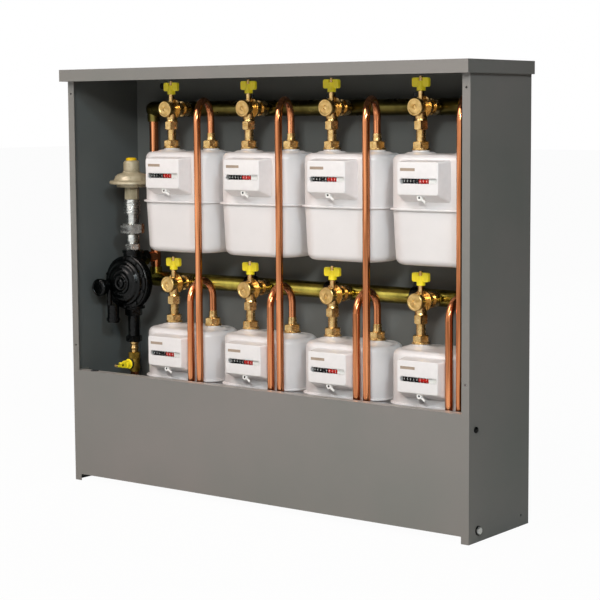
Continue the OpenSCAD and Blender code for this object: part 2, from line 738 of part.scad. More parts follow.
module bottom_casing() {
  translate([0, 0, rim_z]) mirror([0, 0, 1]) difference() {
    union() {
      pressing(bottom_casing_h, bottom_edge_r, casing_draft, 0);
      linear_extrude(casing_wall) casing_plan(rim_w);
      translate([0, 0, casing_wall - crimp_h]) linear_extrude(crimp_h) difference() {
        casing_plan(rim_w);
        casing_plan(rim_w - crimp_w);
      }
    }
    translate([0, 0, -cut]) pressing(bottom_casing_h + cut, bottom_edge_r, casing_draft, -casing_wall);
  }
}
module upper_top_casings() { color(meter_white) for (i = [0:columns - 1]) translate(meter_at(0, i)) top_casing(); }
module lower_top_casings() { color(meter_white) for (i = [0:columns - 1]) translate(meter_at(1, i)) top_casing(); }
module upper_bottom_casings() {
  color(meter_white) for (i = [0:columns - 1]) translate(meter_at(0, i)) bottom_casing();
}
module lower_bottom_casings() {
  color(meter_white) for (i = [0:columns - 1]) translate(meter_at(1, i)) bottom_casing();
}

// The measuring unit hangs from the outlet: two diaphragm chambers under a valve table and a valve cover
module measuring_units() {
  chamber_d = 84;
  chamber_t = 34;
  core_t = 14;
  half_w = casing_w/2 - unit_side_gap;
  table_z = rim_z + 8;
  table_top = table_z + 6;
  duct_h = 18;
  duct_w = 18;
  mid_y = casing_mid_y;
  color("#5b6470") for (row = [0, 1], i = [0:columns - 1]) translate(meter_at(row, i)) {
    for (side = [-1, 1])
      translate([0, mid_y + side*core_t/2, table_z - chamber_d/2]) rotate([-90*side, 0, 0])
        cylinder(h = chamber_t, d1 = chamber_d, d2 = chamber_d - 16);
    block([-half_w, mid_y - core_t/2, table_z - chamber_d], [half_w, mid_y + core_t/2, table_z]);
    difference() {
      union() {
        block([-half_w, mid_y - chamber_d/2, table_z], [half_w, mid_y + chamber_d/2, table_top]);
        bar_z([0, mid_y, table_top], chamber_d - 8, 30);
        block([0, -duct_w/2, table_top], [connection_w/2, duct_w/2, table_top + duct_h]);
        bar_z([connection_w/2, 0, table_top], gas_bore_d + 8, -boss_h - casing_wall - table_top);
      }
      bar_z([connection_w/2, 0, table_top + 2], gas_bore_d, long);
    }
  }
}

// Outline of the index cover from above and from the side; inset makes the hollow
module index_plan(inset) {
  face = index_face_half_w - inset;
  base = index_base_half_w - inset;
  polygon([[-base, -casing_front + cut], [-base, -casing_front], [-face, index_face_y + inset],
           [face, index_face_y + inset], [base, -casing_front], [base, -casing_front + cut]]);
}
module index_side(inset) {
  polygon([[-casing_front + cut, index_top_z - inset], [-casing_front, index_top_z - inset],
           [index_face_y + inset, index_top_z - index_top_slope - inset],
           [index_face_y + inset, index_face_low_z + inset/2], [-casing_front, index_low_z + inset],
           [-casing_front + cut, index_low_z + inset]]);
}
// Rounded front view of the index cover
module index_front(inset) {
  half = index_base_half_w - inset;
  r = index_corner_r;
  low = index_low_z + inset;
  high = index_top_z - inset;
  translate([-half + r, low]) square([2*(half - r), high - low]);
  translate([-half, low + r]) square([2*half, high - low - 2*r]);
  for (x = [-half + r, half - r], z = [low + r, high - r]) translate([x, z]) circle(r = r);
}
module index_form(inset) {
  intersection() {
    translate([0, 0, -long/2]) linear_extrude(long) index_plan(inset);
    rotate([90, 0, 90]) translate([0, 0, -long/2]) linear_extrude(long) index_side(inset);
    rotate([90, 0, 0]) translate([0, 0, -long/2]) linear_extrude(long) index_front(inset);
  }
}

// The counter window as a slot with round ends, seen from the front
module window_slot(grow) {
  h = window_h + 2*grow;
  half = window_half_w + grow - h/2;
  translate([-half, -h/2]) square([2*half, h]);
  for (side = [-1, 1]) translate([side*half, 0]) circle(d = h);
}

module index_covers() {
  color(meter_white) for (row = [0, 1], i = [0:columns - 1]) translate(meter_at(row, i)) {
    difference() {
      index_form(0);
      index_form(index_wall);
      block([-long/2, -casing_front, -long/2], [long/2, long/2, long/2]);
      translate([0, index_face_y + index_wall + cut, -window_drop]) rotate([90, 0, 0])
        linear_extrude(index_wall + 2*cut) window_slot(0);
      translate([0, index_face_y + window_t, -window_drop]) rotate([90, 0, 0])
        linear_extrude(window_t + cut) window_slot(window_bevel);
    }
  }
}

// Clear plates that lie in the rebate round each counter window
module index_windows() {
  color([0.9, 0.95, 1, 0.4]) for (row = [0, 1], i = [0:columns - 1])
    translate(meter_at(row, i) + [0, index_face_y + window_t, -window_drop]) rotate([90, 0, 0])
      linear_extrude(window_t) window_slot(window_bevel - seat);
}

// Counter frames: a plate on the casing, two cheeks and the shaft that the wheels turn on
module counter_frames() {
  color("#d8d8d4") for (row = [0, 1], i = [0:columns - 1])
    translate(meter_at(row, i) + [0, 0, -window_drop]) {
      block([-frame_half_w, -casing_front - counter_plate_t, -9], [frame_half_w, -casing_front, 9]);
      for (side = [-1, 1])
        block([side*(frame_half_w - cheek_t/2) - cheek_t/2, wheel_y - 4, -6],
              [side*(frame_half_w - cheek_t/2) + cheek_t/2, -casing_front, 6]);
      bar_x([-frame_half_w, wheel_y, 0], counter_shaft_d, 2*frame_half_w);
      block([wheels_left + wheels_w + wheel_gap, wheel_y - wheel_d/2 + 1, -5],
            [frame_half_w - cheek_t, wheel_y - wheel_d/2 + 3, 5]);
      block([frame_half_w - cheek_t - 3, wheel_y - wheel_d/2 + 1, -5],
            [frame_half_w, -casing_front, 5]);
    }
}

// One number wheel with its rim and hub, centred on its shaft; n counts from the left
module number_wheel(n) {
  x = wheels_left + n*wheel_pitch + wheel_gap/2;
  w = wheel_pitch - wheel_gap;
  translate([x, wheel_y, -window_drop]) rotate([0, 90, 0]) difference() {
    cylinder(h = w, d = wheel_d);
    translate([0, 0, -cut]) cylinder(h = w + 2*cut, d = counter_shaft_d + 2*fit);
    translate([0, 0, w - 1.2]) difference() {
      cylinder(h = 1.2 + cut, d = wheel_d - 2.4);
      translate([0, 0, -cut]) cylinder(h = 3 + 2*cut, d = counter_shaft_d + 3);
    }
  }
}
module counter_wheels() {
  for (row = [0, 1], i = [0:columns - 1], n = [0:fixed_wheels - 1])
    color(n < 5 ? "#111111" : "#c02018") translate(meter_at(row, i)) number_wheel(n);
}
// The right hand wheel of meter k turns with the gas; k counts from 1, upper row first
module units_wheel(k) {
  row = k <= columns ? 0 : 1;
  color("#c02018") translate(meter_at(row, (k - 1) % columns)) number_wheel(fixed_wheels);
}

// Seals under the face of the index covers: a round plug that is cut to the sloping foot, and a tail
module seal_tags() {
  slope = atan2(index_foot_h, index_depth);
  plug_d = 11;
  plug_y = 3;
  plug_z = -plug_d/2 - 0.5;
  color("#f2f0ee") for (row = [0, 1], i = [0:columns - 1])
    translate(meter_at(row, i) + [0, index_face_y, index_face_low_z]) {
      difference() {
        bar_y([0, plug_y, plug_z], plug_d, index_depth - plug_y - 4);
        bar_y([0, plug_y - cut, plug_z], 4.5, 4 + cut);
        rotate([-slope, 0, 0]) block([-plug_d, -long, 0], [plug_d, long, long]);
      }
      translate([0, plug_y + 1, plug_z]) rotate([0, 35, 0]) block([plug_d/2 - 1, 0, -2], [15, 2, 2]);
    }
}

// Inlet train

// The upper end of the pipe is sized down a little where it enters the valve's socket
module gas_inlet_pipe() {
  h = inlet_valve_z - inlet_valve_half - inlet_end_z;
  color(copper) difference() {
    union() {
      bar_z(train + [0, 0, inlet_end_z], inlet_pipe_d, h - inlet_socket_h - cut);
      bar_z(train + [0, 0, inlet_end_z + cut], inlet_pipe_d - 2*slack, h - cut);
    }
    bar_z(train + [0, 0, inlet_end_z - cut], inlet_pipe_d - 2*pipe_wall, h + 2*cut);
  }
}

// Brass ball valve: round body, hexagon on top and a gland for the spindle that points forward
module inlet_valve_body() {
  color("#9c8a3e") translate(train + [0, 0, inlet_valve_z]) difference() {
    union() {
      bar_z([0, 0, -inlet_valve_half], inlet_body_d, 2*inlet_valve_half);
      bar_z([0, 0, -inlet_valve_half - inlet_socket_h], inlet_pipe_d + 5, inlet_socket_h + cut);
      hex_bar([0, 0, inlet_valve_half - 2], 24, inlet_hex_h + 2);
      rotate([0, 0, -inlet_valve_turn]) bar_y([0, -inlet_gland_y, 0], 16, inlet_gland_y);
    }
    sphere(d = inlet_ball_d + 2*slack);
    rotate([0, 0, -inlet_valve_turn]) bar_y([0, -inlet_gland_y - cut, 0], spindle_d + 2*fit, inlet_gland_y + cut);
    bar_z([0, 0, -inlet_valve_half - inlet_socket_h - cut], inlet_pipe_d + 2*seat, inlet_socket_h + cut);
    bar_z([0, 0, -inlet_valve_half - cut], valve_bore_d, long);
  }
}

module inlet_union() {
  h = inlet_union_h;
  waist_r = 8.5;
  color("#d8b25e") translate(train + [0, 0, inlet_union_z]) difference() {
    rotate_extrude() polygon([
      [0, 0], [waist_r, 0], [waist_r, 6], [10, 7.5], [10, 11], [waist_r, 12.5], [waist_r, h - 6],
      [10.5, h - 4.5], [10.5, h], [0, h]]);
    translate([0, 0, -cut]) cylinder(h = h + 2*cut, d = valve_bore_d);
  }
}

module regulator_inlet_pipe() {
  h = column_low - reg_pipe_z;
  low_hex_h = 14;
  high_hex_h = 16;
  color(cast_black) translate(train + [0, 0, reg_pipe_z]) difference() {
    union() {
      cylinder(h = h, d = reg_pipe_d);
      hex_bar([0, 0, 0], reg_pipe_d + 6, low_hex_h);
      hex_bar([0, 0, h - high_hex_h], reg_pipe_d + 8, high_hex_h);
    }
    translate([0, 0, -cut]) cylinder(h = h + 2*cut, d = reg_bore_d);
  }
}

// Cast body: upright column, back half of the diaphragm housing, adjuster housing and sensing chamber on the
// left, outlet behind with a hexagon end
module regulator_body() {
  r = regulator_d/2;
  adjuster = [-adjuster_dx, 0, regulator_z - adjuster_drop];
  chamber_dx = 24;
  chamber_dy = 40;
  chamber_drop = 88;
  chamber = [-chamber_dx, -chamber_dy, regulator_z - chamber_drop];
  chamber_d = 26;
  chamber_h = 38;
  stem_l = adjuster[2] - chamber[2] - chamber_h - 5;
  bore_l = 40;
  outlet_hex_l = 16;
  ring_h = 6;
  color(cast_black) translate(train) difference() {
    union() {
      difference() {
        union() {
          bar_z([0, 0, column_low], column_d, column_top - column_low);
          bar_z([0, 0, column_low], column_d + 8, ring_h);
          bar_z([0, 0, column_top - ring_h], column_d + 4, ring_h);
          translate([0, 0, regulator_z]) rotate([90, 0, 0]) {
            translate([0, 0, -20]) cylinder(h = 19, r1 = r/2, r2 = r - 8);
            translate([0, 0, -2]) cylinder(h = reg_front + 2, r = r - 3);
            for (z = [2, reg_front - 4]) translate([0, 0, z]) cylinder(h = 4, r = r);
          }
        }
        bar_y([0, -reg_front - long, regulator_z], regulator_d + 2*slack, long);
      }
      bar_y(adjuster + [0, -adjuster_l, 0], adjuster_d - 8, adjuster_l);
      bar_y(adjuster + [0, -30, 0], adjuster_d - 2, ring_h);
      bar_y([0, 0, link_tee_z], 28, reg_outlet_l - cut);
      translate([0, reg_outlet_l - outlet_hex_l, link_tee_z]) rotate([-90, 0, 0])
        hex_bar([0, 0, 0], 32, outlet_hex_l);
      bar_z(chamber, chamber_d, chamber_h);
      bar_z(chamber + [0, 0, 4], chamber_d + 4, ring_h);
      bar_z(chamber + [-5, -6, chamber_h - cut], 10, stem_l);
    }
    bar_z([0, 0, column_low - cut], reg_bore_d, bore_l);
    bar_y([0, 8, link_tee_z], link_pipe_d - 2, reg_outlet_l);
    bar_z([0, 0, link_tee_z - 8], link_pipe_d - 2, bore_l);
  }
}

// Domed front cover of the diaphragm housing, with two turned rings and a raised middle
module regulator_cover() {
  r = regulator_d/2;
  dome_h = 27.5;
  middle_h = 30.5;
  color(cast_black) translate(train + [0, -reg_front, regulator_z]) rotate([90, 0, 0])
    difference() {
      rotate_extrude() polygon([
        [0, 0], [r, 0], [r, 4], [r - 3, 5.5], [r - 3, 8], [r - 0.5, 9], [r - 0.5, cover_land_z],
        [r - 8.5, cover_land_z], [r - 10, 18], [r - 17, dome_h - 4.5], [r - 26, dome_h - 1.5], [18, dome_h],
        [16, middle_h - 0.5], [0, middle_h]]);
      translate([-adjuster_dx, -adjuster_drop, -cut]) cylinder(h = long, d = adjuster_d - 2 + 2*slack);
    }
}

// Bolts round the rim of the diaphragm housing
module regulator_bolts() {
  count = 10;
  ring_r = regulator_d/2 - 4.5;
  gap = adjuster_d/2 + 4;
  color(cast_black) translate(train + [0, -reg_front - cover_land_z, regulator_z]) rotate([90, 0, 0])
    for (k = [0:count - 1]) {
      at = ring_r*[cos(360*(k + 0.5)/count), sin(360*(k + 0.5)/count)];
      if (norm(at + [adjuster_dx, adjuster_drop]) > gap) hex_bar([at[0], at[1], 0], 6, 3.4);
    }
}

// Round cap with a screwdriver slot
module regulator_cap() {
  r = adjuster_d/2;
  slot_z = 11;
  color(cast_black) translate(train + [-adjuster_dx, -adjuster_l, regulator_z - adjuster_drop])
    rotate([90, 0, 0]) difference() {
      rotate_extrude() polygon([
        [0, 0], [r - 2, 0], [r, 2], [r, slot_z], [r - 2, 13.5], [r - 4, 14], [r - 5, 12.8], [0, 12.8]]);
      block([-r + 7, -2, slot_z], [r - 7, 2, slot_z + 2]);
    }
}

module riser_nipple() {
  h = riser_nipple_h;
  collar_z = 19;
  cone_z = 33;
  color(zinc) translate(train + [0, 0, column_top]) difference() {
    union() {
      hex_bar([0, 0, 0], 29, 14);
      cylinder(h = h, d = riser_nipple_d - 2);
      translate([0, 0, collar_z]) cylinder(h = cone_z - collar_z, d = riser_nipple_d + 4);
      translate([0, 0, cone_z]) cylinder(h = h - cone_z, d1 = riser_nipple_d + 4, d2 = riser_nipple_d);
    }
    translate([0, 0, -cut]) cylinder(h = h + 2*cut, d = riser_bore_d);
  }
}

module riser_union_nut() {
  color("#8b9094") translate(train + [0, 0, union_nut_z]) difference() {
    hex_bar([0, 0, 0], union_nut_af, union_nut_h);
    translate([0, 0, -cut]) cylinder(h = union_nut_h + 2*cut, d = riser_nipple_d);
  }
}

// Ribbed coupling with its nipple, which passes down through the union nut
module riser_coupling() {
  h = coupling_h;
  neck_h = 21;
  ribs_z = union_nut_h + neck_h;
  ribs = 5;
  rib_pitch = 5.4;
  color("#d4d4d0") translate(train + [0, 0, union_nut_z]) difference() {
    union() {
      cylinder(h = union_nut_h, d = riser_nipple_d - 2*seat);
      translate([0, 0, union_nut_h]) cylinder(h = neck_h, d = riser_nipple_d + 2);
      translate([0, 0, ribs_z]) cylinder(h = h - ribs_z, d = 33);
      for (k = [0:ribs - 1]) translate([0, 0, ribs_z + 2 + k*rib_pitch]) cylinder(h = 3.2, d = 36);
    }
    translate([0, 0, -cut]) cylinder(h = h + 2*cut, d = riser_bore_d);
  }
}

// Relief valve: hexagon neck, lower flange, diaphragm housing and dome
module relief_valve_body() {
  r = relief_d/2;
  flange_r = 33;
  neck_h = 25;
  color(beige) translate(train + [0, 0, relief_z]) difference() {
    union() {
      hex_bar([0, 0, 0], 28, neck_h);
      rotate_extrude() polygon([
        [0, neck_h - 1], [14, neck_h - 1], [15, 27], [flange_r - 2, 27], [flange_r, 28.5], [flange_r, 32],
        [flange_r + 1, 34], [r - 2, 34], [r, 36], [r, 39], [r - 2, 41], [r - 9, 42], [r - 11, 46],
        [r - 13, relief_h - 11], [r - 18, relief_h - 7], [19, relief_h - 3], [19, relief_h], [0, relief_h]]);
    }
    translate([0, 0, -cut]) cylinder(h = 40, d = riser_bore_d);
  }
}

module relief_valve_bonnet() {
  color(beige) translate(train + [0, 0, bonnet_z]) difference() {
    rotate_extrude() polygon([
      [0, 0], [bonnet_d/2 - 1, 0], [bonnet_d/2, 1], [bonnet_d/2, bonnet_h - 5],
      [bonnet_d/2 - 2.5, bonnet_h - 1], [bonnet_d/2 - 4, bonnet_h], [0, bonnet_h]]);
    translate([0, 0, bonnet_h - reset_seat_h - reset_travel - slack]) cylinder(h = long, d = reset_d + 2*fit);
  }
}

// Yellow button that is pressed to reset the relief valve
module reset_button() {
  h = reset_seat_h + reset_h;
  color("#e8b800") translate(train + [0, 0, bonnet_z + bonnet_h - reset_seat_h]) rotate_extrude()
    polygon([[0, 0], [reset_d/2, 0], [reset_d/2, h - 2], [reset_d/2 - 2, h], [0, h]]);
}

// Handles

// Ball with its spindle along +Z; bored across and, where angled, down from the middle
module ball_and_spindle(d, top, angled) {
  difference() {
    union() {
      sphere(d = d);
      cylinder(h = top, d = spindle_d);
    }
    if (angled) {
      bar_y([0, 0, 0], valve_bore_d - 2, d);
      bar_z([0, 0, -d], valve_bore_d - 2, d);
    } else bar_y([0, -d, 0], valve_bore_d - 2, 2*d);
  }
}

// Butterfly handle on its hub, with rounded wings and a notch for the end of the spindle
module butterfly() {
  r = 4;
  half = butterfly_l/2;
  z0 = hub_z + hub_h - 2;
  difference() {
    union() {
      bar_z([0, 0, hub_z], hub_d, hub_h);
      translate([0, butterfly_t/2, z0]) rotate([90, 0, 0]) linear_extrude(butterfly_t) {
        translate([-half + r, 0]) square([2*(half - r), butterfly_h + 2]);
        translate([-half, r]) square([2*half, butterfly_h + 2 - 2*r]);
        for (x = [-half + r, half - r], z = [r, butterfly_h + 2 - r]) translate([x, z]) circle(r = r);
      }
      bar_z([0, 0, hub_z + hub_h], hub_d - 4, butterfly_h - 6);
    }
    block([-5, -hub_d, z0 + butterfly_h - 4], [5, hub_d, z0 + butterfly_h + 2 + cut]);
    bar_z([0, 0, hub_z - cut], spindle_d + 2*fit, long);
  }
}

// Handle, spindle and ball of meter valve k; k counts from 1, upper row first
module valve_handle(k) {
  row = k <= columns ? 0 : 1;
  translate(inlet_at(row, (k - 1) % columns) + [0, 0, valve_rise]) {
    color(brass) ball_and_spindle(ball_d, spindle_top, true);
    color(yellow) butterfly();
  }
}

// Paddle handle of the inlet valve: it points forward, with a black collar and a sealing eye
module inlet_valve_handle() {
  collar_z = inlet_gland_y + slack;
  collar_h = 5;
  paddle_z = collar_z + collar_h;
  paddle_l = 40;
  paddle_t = 9;
  spindle_end = 6;
  eye_z = 23;
  eye_d = 12;
  eye_hole_d = 5;
  w = 8;
  translate(train + [0, 0, inlet_valve_z]) rotate([0, 0, -inlet_valve_turn]) rotate([90, 0, 0]) {
    color(brass) ball_and_spindle(inlet_ball_d, paddle_z + spindle_end, false);
    color(cast_black) difference() {
      translate([0, 0, collar_z]) cylinder(h = collar_h, d = 22);
      translate([0, 0, collar_z - cut]) cylinder(h = collar_h + 2*cut, d = spindle_d + 2*fit);
    }
    color(yellow) difference() {
      union() {
        translate([-paddle_t/2, 0, paddle_z]) rotate([90, 0, 90]) linear_extrude(paddle_t)
          polygon([
            [-w, 0], [w, 0], [w, 12], [4, eye_z], [2.5, paddle_l],
            [-2.5, paddle_l], [-4, eye_z], [-w, 12]]);
        bar_x([-paddle_t/2, 0, paddle_z + eye_z], eye_d, paddle_t);
        translate([0, 0, paddle_z]) cylinder(h = 9, d = 2*w - 1);
      }
      translate([0, 0, paddle_z - cut]) cylinder(h = spindle_end + 2*cut, d = spindle_d + 2*fit);
      bar_x([-paddle_t, 0, paddle_z + eye_z], eye_hole_d, 2*paddle_t);
    }
  }
}

back_panel();
left_side_panel();
right_side_panel();
lid();
front_panel();
cable_grommet();
panel_screws();
earth_bolts();
upper_manifold();
lower_manifold();
manifold_clips();
link_pipe();
valve_bodies();
valve_end_caps();
valve_tails();
union_nuts();
outlet_tails();
upper_outlet_pipes();
lower_outlet_pipes();
upper_top_casings();
lower_top_casings();
upper_bottom_casings();
lower_bottom_casings();
measuring_units();
index_covers();
index_windows();
counter_frames();
counter_wheels();
seal_tags();
gas_inlet_pipe();
inlet_valve_body();
inlet_union();
regulator_inlet_pipe();
regulator_body();
regulator_cover();
regulator_bolts();
regulator_cap();
riser_nipple();
riser_union_nut();
riser_coupling();
relief_valve_body();
relief_valve_bonnet();
reset_button();
inlet_valve_handle();
valve_handle(1);  // valve_handle_1
valve_handle(2);  // valve_handle_2
valve_handle(3);  // valve_handle_3
valve_handle(4);  // valve_handle_4
valve_handle(5);  // valve_handle_5
valve_handle(6);  // valve_handle_6
valve_handle(7);  // valve_handle_7
valve_handle(8);  // valve_handle_8
units_wheel(1);  // units_wheel_1
units_wheel(2);  // units_wheel_2
units_wheel(3);  // units_wheel_3
units_wheel(4);  // units_wheel_4
units_wheel(5);  // units_wheel_5
units_wheel(6);  // units_wheel_6
units_wheel(7);  // units_wheel_7
units_wheel(8);  // units_wheel_8
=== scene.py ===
"""Gas distribution box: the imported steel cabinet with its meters, valves and pipes, dressed and lit."""

import math

import bmesh
import bpy
from mathutils import Matrix, Vector


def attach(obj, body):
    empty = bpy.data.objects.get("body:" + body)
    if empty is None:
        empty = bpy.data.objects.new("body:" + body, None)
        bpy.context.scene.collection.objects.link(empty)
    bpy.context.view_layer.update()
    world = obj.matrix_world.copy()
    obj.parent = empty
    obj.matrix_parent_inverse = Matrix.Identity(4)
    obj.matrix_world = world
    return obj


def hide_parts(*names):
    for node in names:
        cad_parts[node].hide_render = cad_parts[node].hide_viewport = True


bpy.context.scene.view_settings.view_transform = "Standard"

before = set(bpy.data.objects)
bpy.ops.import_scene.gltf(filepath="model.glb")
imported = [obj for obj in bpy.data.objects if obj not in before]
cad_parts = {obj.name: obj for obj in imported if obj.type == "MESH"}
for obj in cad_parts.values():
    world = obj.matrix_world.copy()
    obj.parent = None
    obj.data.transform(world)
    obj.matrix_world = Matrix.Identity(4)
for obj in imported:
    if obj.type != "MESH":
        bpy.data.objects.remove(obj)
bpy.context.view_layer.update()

MM = 0.001

# Where the meters, valves and the inlet train are, in mm
METER_PITCH = 213
INLETS = [-313 + METER_PITCH * i for i in range(4)]
CONNECTIONS = 110
METER_Y = 14.5
UPPER, LOWER = 728, 352
VALVE_RISE, HUB_RISE = 83, 30.5
SPINDLE_RADIUS, RUNNING_FIT = 4, 0.05
TRAIN_X = -428
REGULATOR_Z = 434
INLET_VALVE = Vector((TRAIN_X, 9.5, 253))
INLET_SPINDLE = Vector((0, -1, 0))
GLAND_END, COLLAR_END = 14.2, 19.25

# The faces of the cabinet's sheets, in mm, and how far off its face the middle of a triangle may lie
SHEET = 1.5
SIDE_INNER, SIDE_OUTER = 506.5, 508
BACK_INNER, BACK_OUTER = 116.5, 118
LID_UNDER = 894.5
POSTS_BACK = -98
NEAR = 0.5
EARTH_WASHER = 1.7
WALL_HOLES = [(x, BACK_OUTER, z) for x in (-430, 430) for z in (110, 862)]

# The counter wheels and the seal of a meter, in mm from the middle between its connections
WHEEL_LEFT, WHEEL_Y, WINDOW_Z = -37, -83.2, -56
WHEEL_PITCH = 7.2
WHEEL_RADIUS = 7
BLACK_WHEELS = 5
FIXED_WHEELS = 7
SEAL_HOLE_Z, SEAL_HOLE_RADIUS = -87, 2.3


# The camera stands to the right of the cabinet, just below the level of its lid, and looks down by six degrees

CAMERA_PLACE = (2.189, -2.8135, 0.800)
CAMERA_TURN = (37.36, 6.10, -0.378)
LENS_MM = 104.8


def place_camera():
    yaw, pitch, roll = (math.radians(a) for a in CAMERA_TURN)
    forward = Vector((-math.sin(yaw) * math.cos(pitch), math.cos(yaw) * math.cos(pitch), -math.sin(pitch)))
    level = forward.cross(Vector((0, 0, 1))).normalized()
    upright = level.cross(forward)
    right = level * math.cos(roll) + upright * math.sin(roll)
    up = upright * math.cos(roll) - level * math.sin(roll)
    data = bpy.data.cameras.new("camera")
    data.sensor_width = 36
    data.lens = LENS_MM
    data.clip_start = 0.1
    data.clip_end = 60
    camera = bpy.data.objects.new("camera", data)
    bpy.context.scene.collection.objects.link(camera)
    turn = Matrix((right, up, -forward)).transposed()
    camera.matrix_world = Matrix.Translation(CAMERA_PLACE) @ turn.to_4x4()
    bpy.context.scene.camera = camera


place_camera()


# Colours and nodes


def linear(code):
    """An sRGB hex colour as linear red, green, blue and alpha."""
    parts = [int(code[i:i + 2], 16) / 255 for i in (1, 3, 5)]
    return [p / 12.92 if p <= 0.04045 else ((p + 0.055) / 1.055) ** 2.4 for p in parts] + [1.0]


def add(tree, kind, settings=None, links=None):
    """A new node. Settings are its own properties or the values of its inputs; links join inputs to outputs."""
    made = tree.nodes.new(kind)
    for key, value in (settings or {}).items():
        if isinstance(key, int) or key in made.inputs:
            made.inputs[key].default_value = value
        else:
            setattr(made, key, value)
    for key, output in (links or {}).items():
        tree.links.new(output, made.inputs[key])
    return made


def start(name, **sockets):
    """A material with its shader's own sockets set, its node tree and its Object coordinates."""
    made = bpy.data.materials.new(name)
    made.use_nodes = True
    tree = made.node_tree
    tree.nodes.clear()
    shader = add(tree, "ShaderNodeBsdfPrincipled", sockets)
    add(tree, "ShaderNodeOutputMaterial", links={"Surface": shader.outputs[0]})
    place = add(tree, "ShaderNodeTexCoord").outputs["Object"]
    return made, tree, shader, place


def mottle(tree, place, mm, low, high, detail=3.0, squeeze=None):
    """A noise with features of that size, spread from low to high.

    Squeeze scales its coordinates, so that it draws out along an axis where that is small.
    """
    per_metre = 1000 / mm
    if squeeze:
        place = add(tree, "ShaderNodeMapping", {"Scale": squeeze}, {"Vector": place}).outputs[0]
    noise = add(tree, "ShaderNodeTexNoise", {"Scale": per_metre, "Detail": detail}, {"Vector": place})
    spread = {"From Min": 0.3, "From Max": 0.7, "To Min": low, "To Max": high}
    return add(tree, "ShaderNodeMapRange", spread, {"Value": noise.outputs["Fac"]}).outputs[0]


def drifting_colour(tree, shader, place, mm, first, second, squeeze=None):
    """Base colour that drifts between two hex colours in patches of that size."""
    share = mottle(tree, place, mm, 0, 1, squeeze=squeeze)
    mix = add(tree, "ShaderNodeMix", {"data_type": "RGBA"}, {"Factor": share})
    mix.inputs["A"].default_value = linear(first)
    mix.inputs["B"].default_value = linear(second)
    tree.links.new(mix.outputs["Result"], shader.inputs["Base Color"])


def uneven(tree, shader, place, mm, depth_mm, strength, detail=1.0, squeeze=None):
    """A surface that is uneven by that size and depth, too finely for the mesh."""
    height = mottle(tree, place, mm, 0, 1, detail, squeeze)
    depth = depth_mm * MM
    bump = add(tree, "ShaderNodeBump", {"Strength": strength, "Distance": depth}, {"Height": height})
    tree.links.new(bump.outputs[0], shader.inputs["Normal"])


def centred(tree, place, middle):
    """Coordinates across the cabinet from a middle, with the depth left out."""
    off = add(tree, "ShaderNodeVectorMath", {"operation": "SUBTRACT", 1: middle}, {0: place}).outputs[0]
    return add(tree, "ShaderNodeVectorMath", {"operation": "MULTIPLY", 1: (1, 0, 1)}, {0: off}).outputs[0]


def rings_around(tree, flat, pitch_mm):
    """Waves from -1 to 1 that run out from the middle of centred coordinates."""
    radius = add(tree, "ShaderNodeVectorMath", {"operation": "LENGTH"}, {0: flat}).outputs["Value"]
    per_turn = 2 * math.pi / (pitch_mm * MM)
    turns = add(tree, "ShaderNodeMath", {"operation": "MULTIPLY", 1: per_turn}, {0: radius})
    return add(tree, "ShaderNodeMath", {"operation": "SINE"}, {0: turns.outputs[0]}).outputs[0]


# Finishes


def powder_coat(name, first, second, roughness, gloss=1.0):
    """Polyester powder coat on steel, baked to a fine orange peel: satin, with a soft broad highlight."""
    made, tree, shader, place = start(name, Roughness=roughness, IOR=1.5, **{"Specular IOR Level": gloss})
    drifting_colour(tree, shader, place, 260, first, second)
    uneven(tree, shader, place, 2.2, 0.05, 0.35)
    return made


def stove_enamel():
    """White polyester enamel on deep drawn steel: smooth and fairly glossy, with a faint waviness."""
    made, tree, shader, place = start("stove_enamel_on_drawn_steel", Roughness=0.3, IOR=1.5)
    drifting_colour(tree, shader, place, 60, "#e5e1e1", "#e0dcdc")
    uneven(tree, shader, place, 7, 0.08, 0.3)
    return made


def moulded_plastic(name, first, second, roughness, gloss=0.5, painted_glow=None):
    """Injection moulded plastic: even colour and a very fine spark eroded texture.

    Painted glow is an emission colour that makes the part give back more light than falls on it: painted light.
    The texture's pits are under 0.1 mm, and are drawn 0.6 mm wide so that they show.
    """
    made, tree, shader, place = start(name, Roughness=roughness, IOR=1.5, **{"Specular IOR Level": gloss})
    if painted_glow:
        shader.inputs["Emission Color"].default_value = linear(painted_glow)
        shader.inputs["Emission Strength"].default_value = 0.16
    drifting_colour(tree, shader, place, 12, first, second)
    uneven(tree, shader, place, 0.6, 0.02, 0.3)
    return made


def clear_plastic():
    """Clear polycarbonate window: thin, glossy and slightly cool."""
    made, tree, shader, place = start(
        "clear_polycarbonate", Roughness=0.03, IOR=1.5, Alpha=0.04,
        **{"Base Color": linear("#2c3236"), "Specular IOR Level": 0.25})
    uneven(tree, shader, place, 9, 0.02, 0.2)
    return made


def turned_metal(name, first, second, roughness, dull=0.1, mottle_mm=9, metallic=1.0):
    """Machined or drawn metal that has stood in the air: colour that drifts, patches that are duller.

    The tool's marks lie level round an upright piece. They are drawn 0.5 mm apart, coarser than real ones.
    """
    made, tree, shader, place = start(name, Metallic=metallic)
    drifting_colour(tree, shader, place, mottle_mm, first, second)
    rough = mottle(tree, place, mottle_mm * 0.6, roughness, roughness + dull)
    tree.links.new(rough, shader.inputs["Roughness"])
    uneven(tree, shader, place, 6, 0.02, 0.25, detail=2.0, squeeze=(1, 1, 12))
    return made


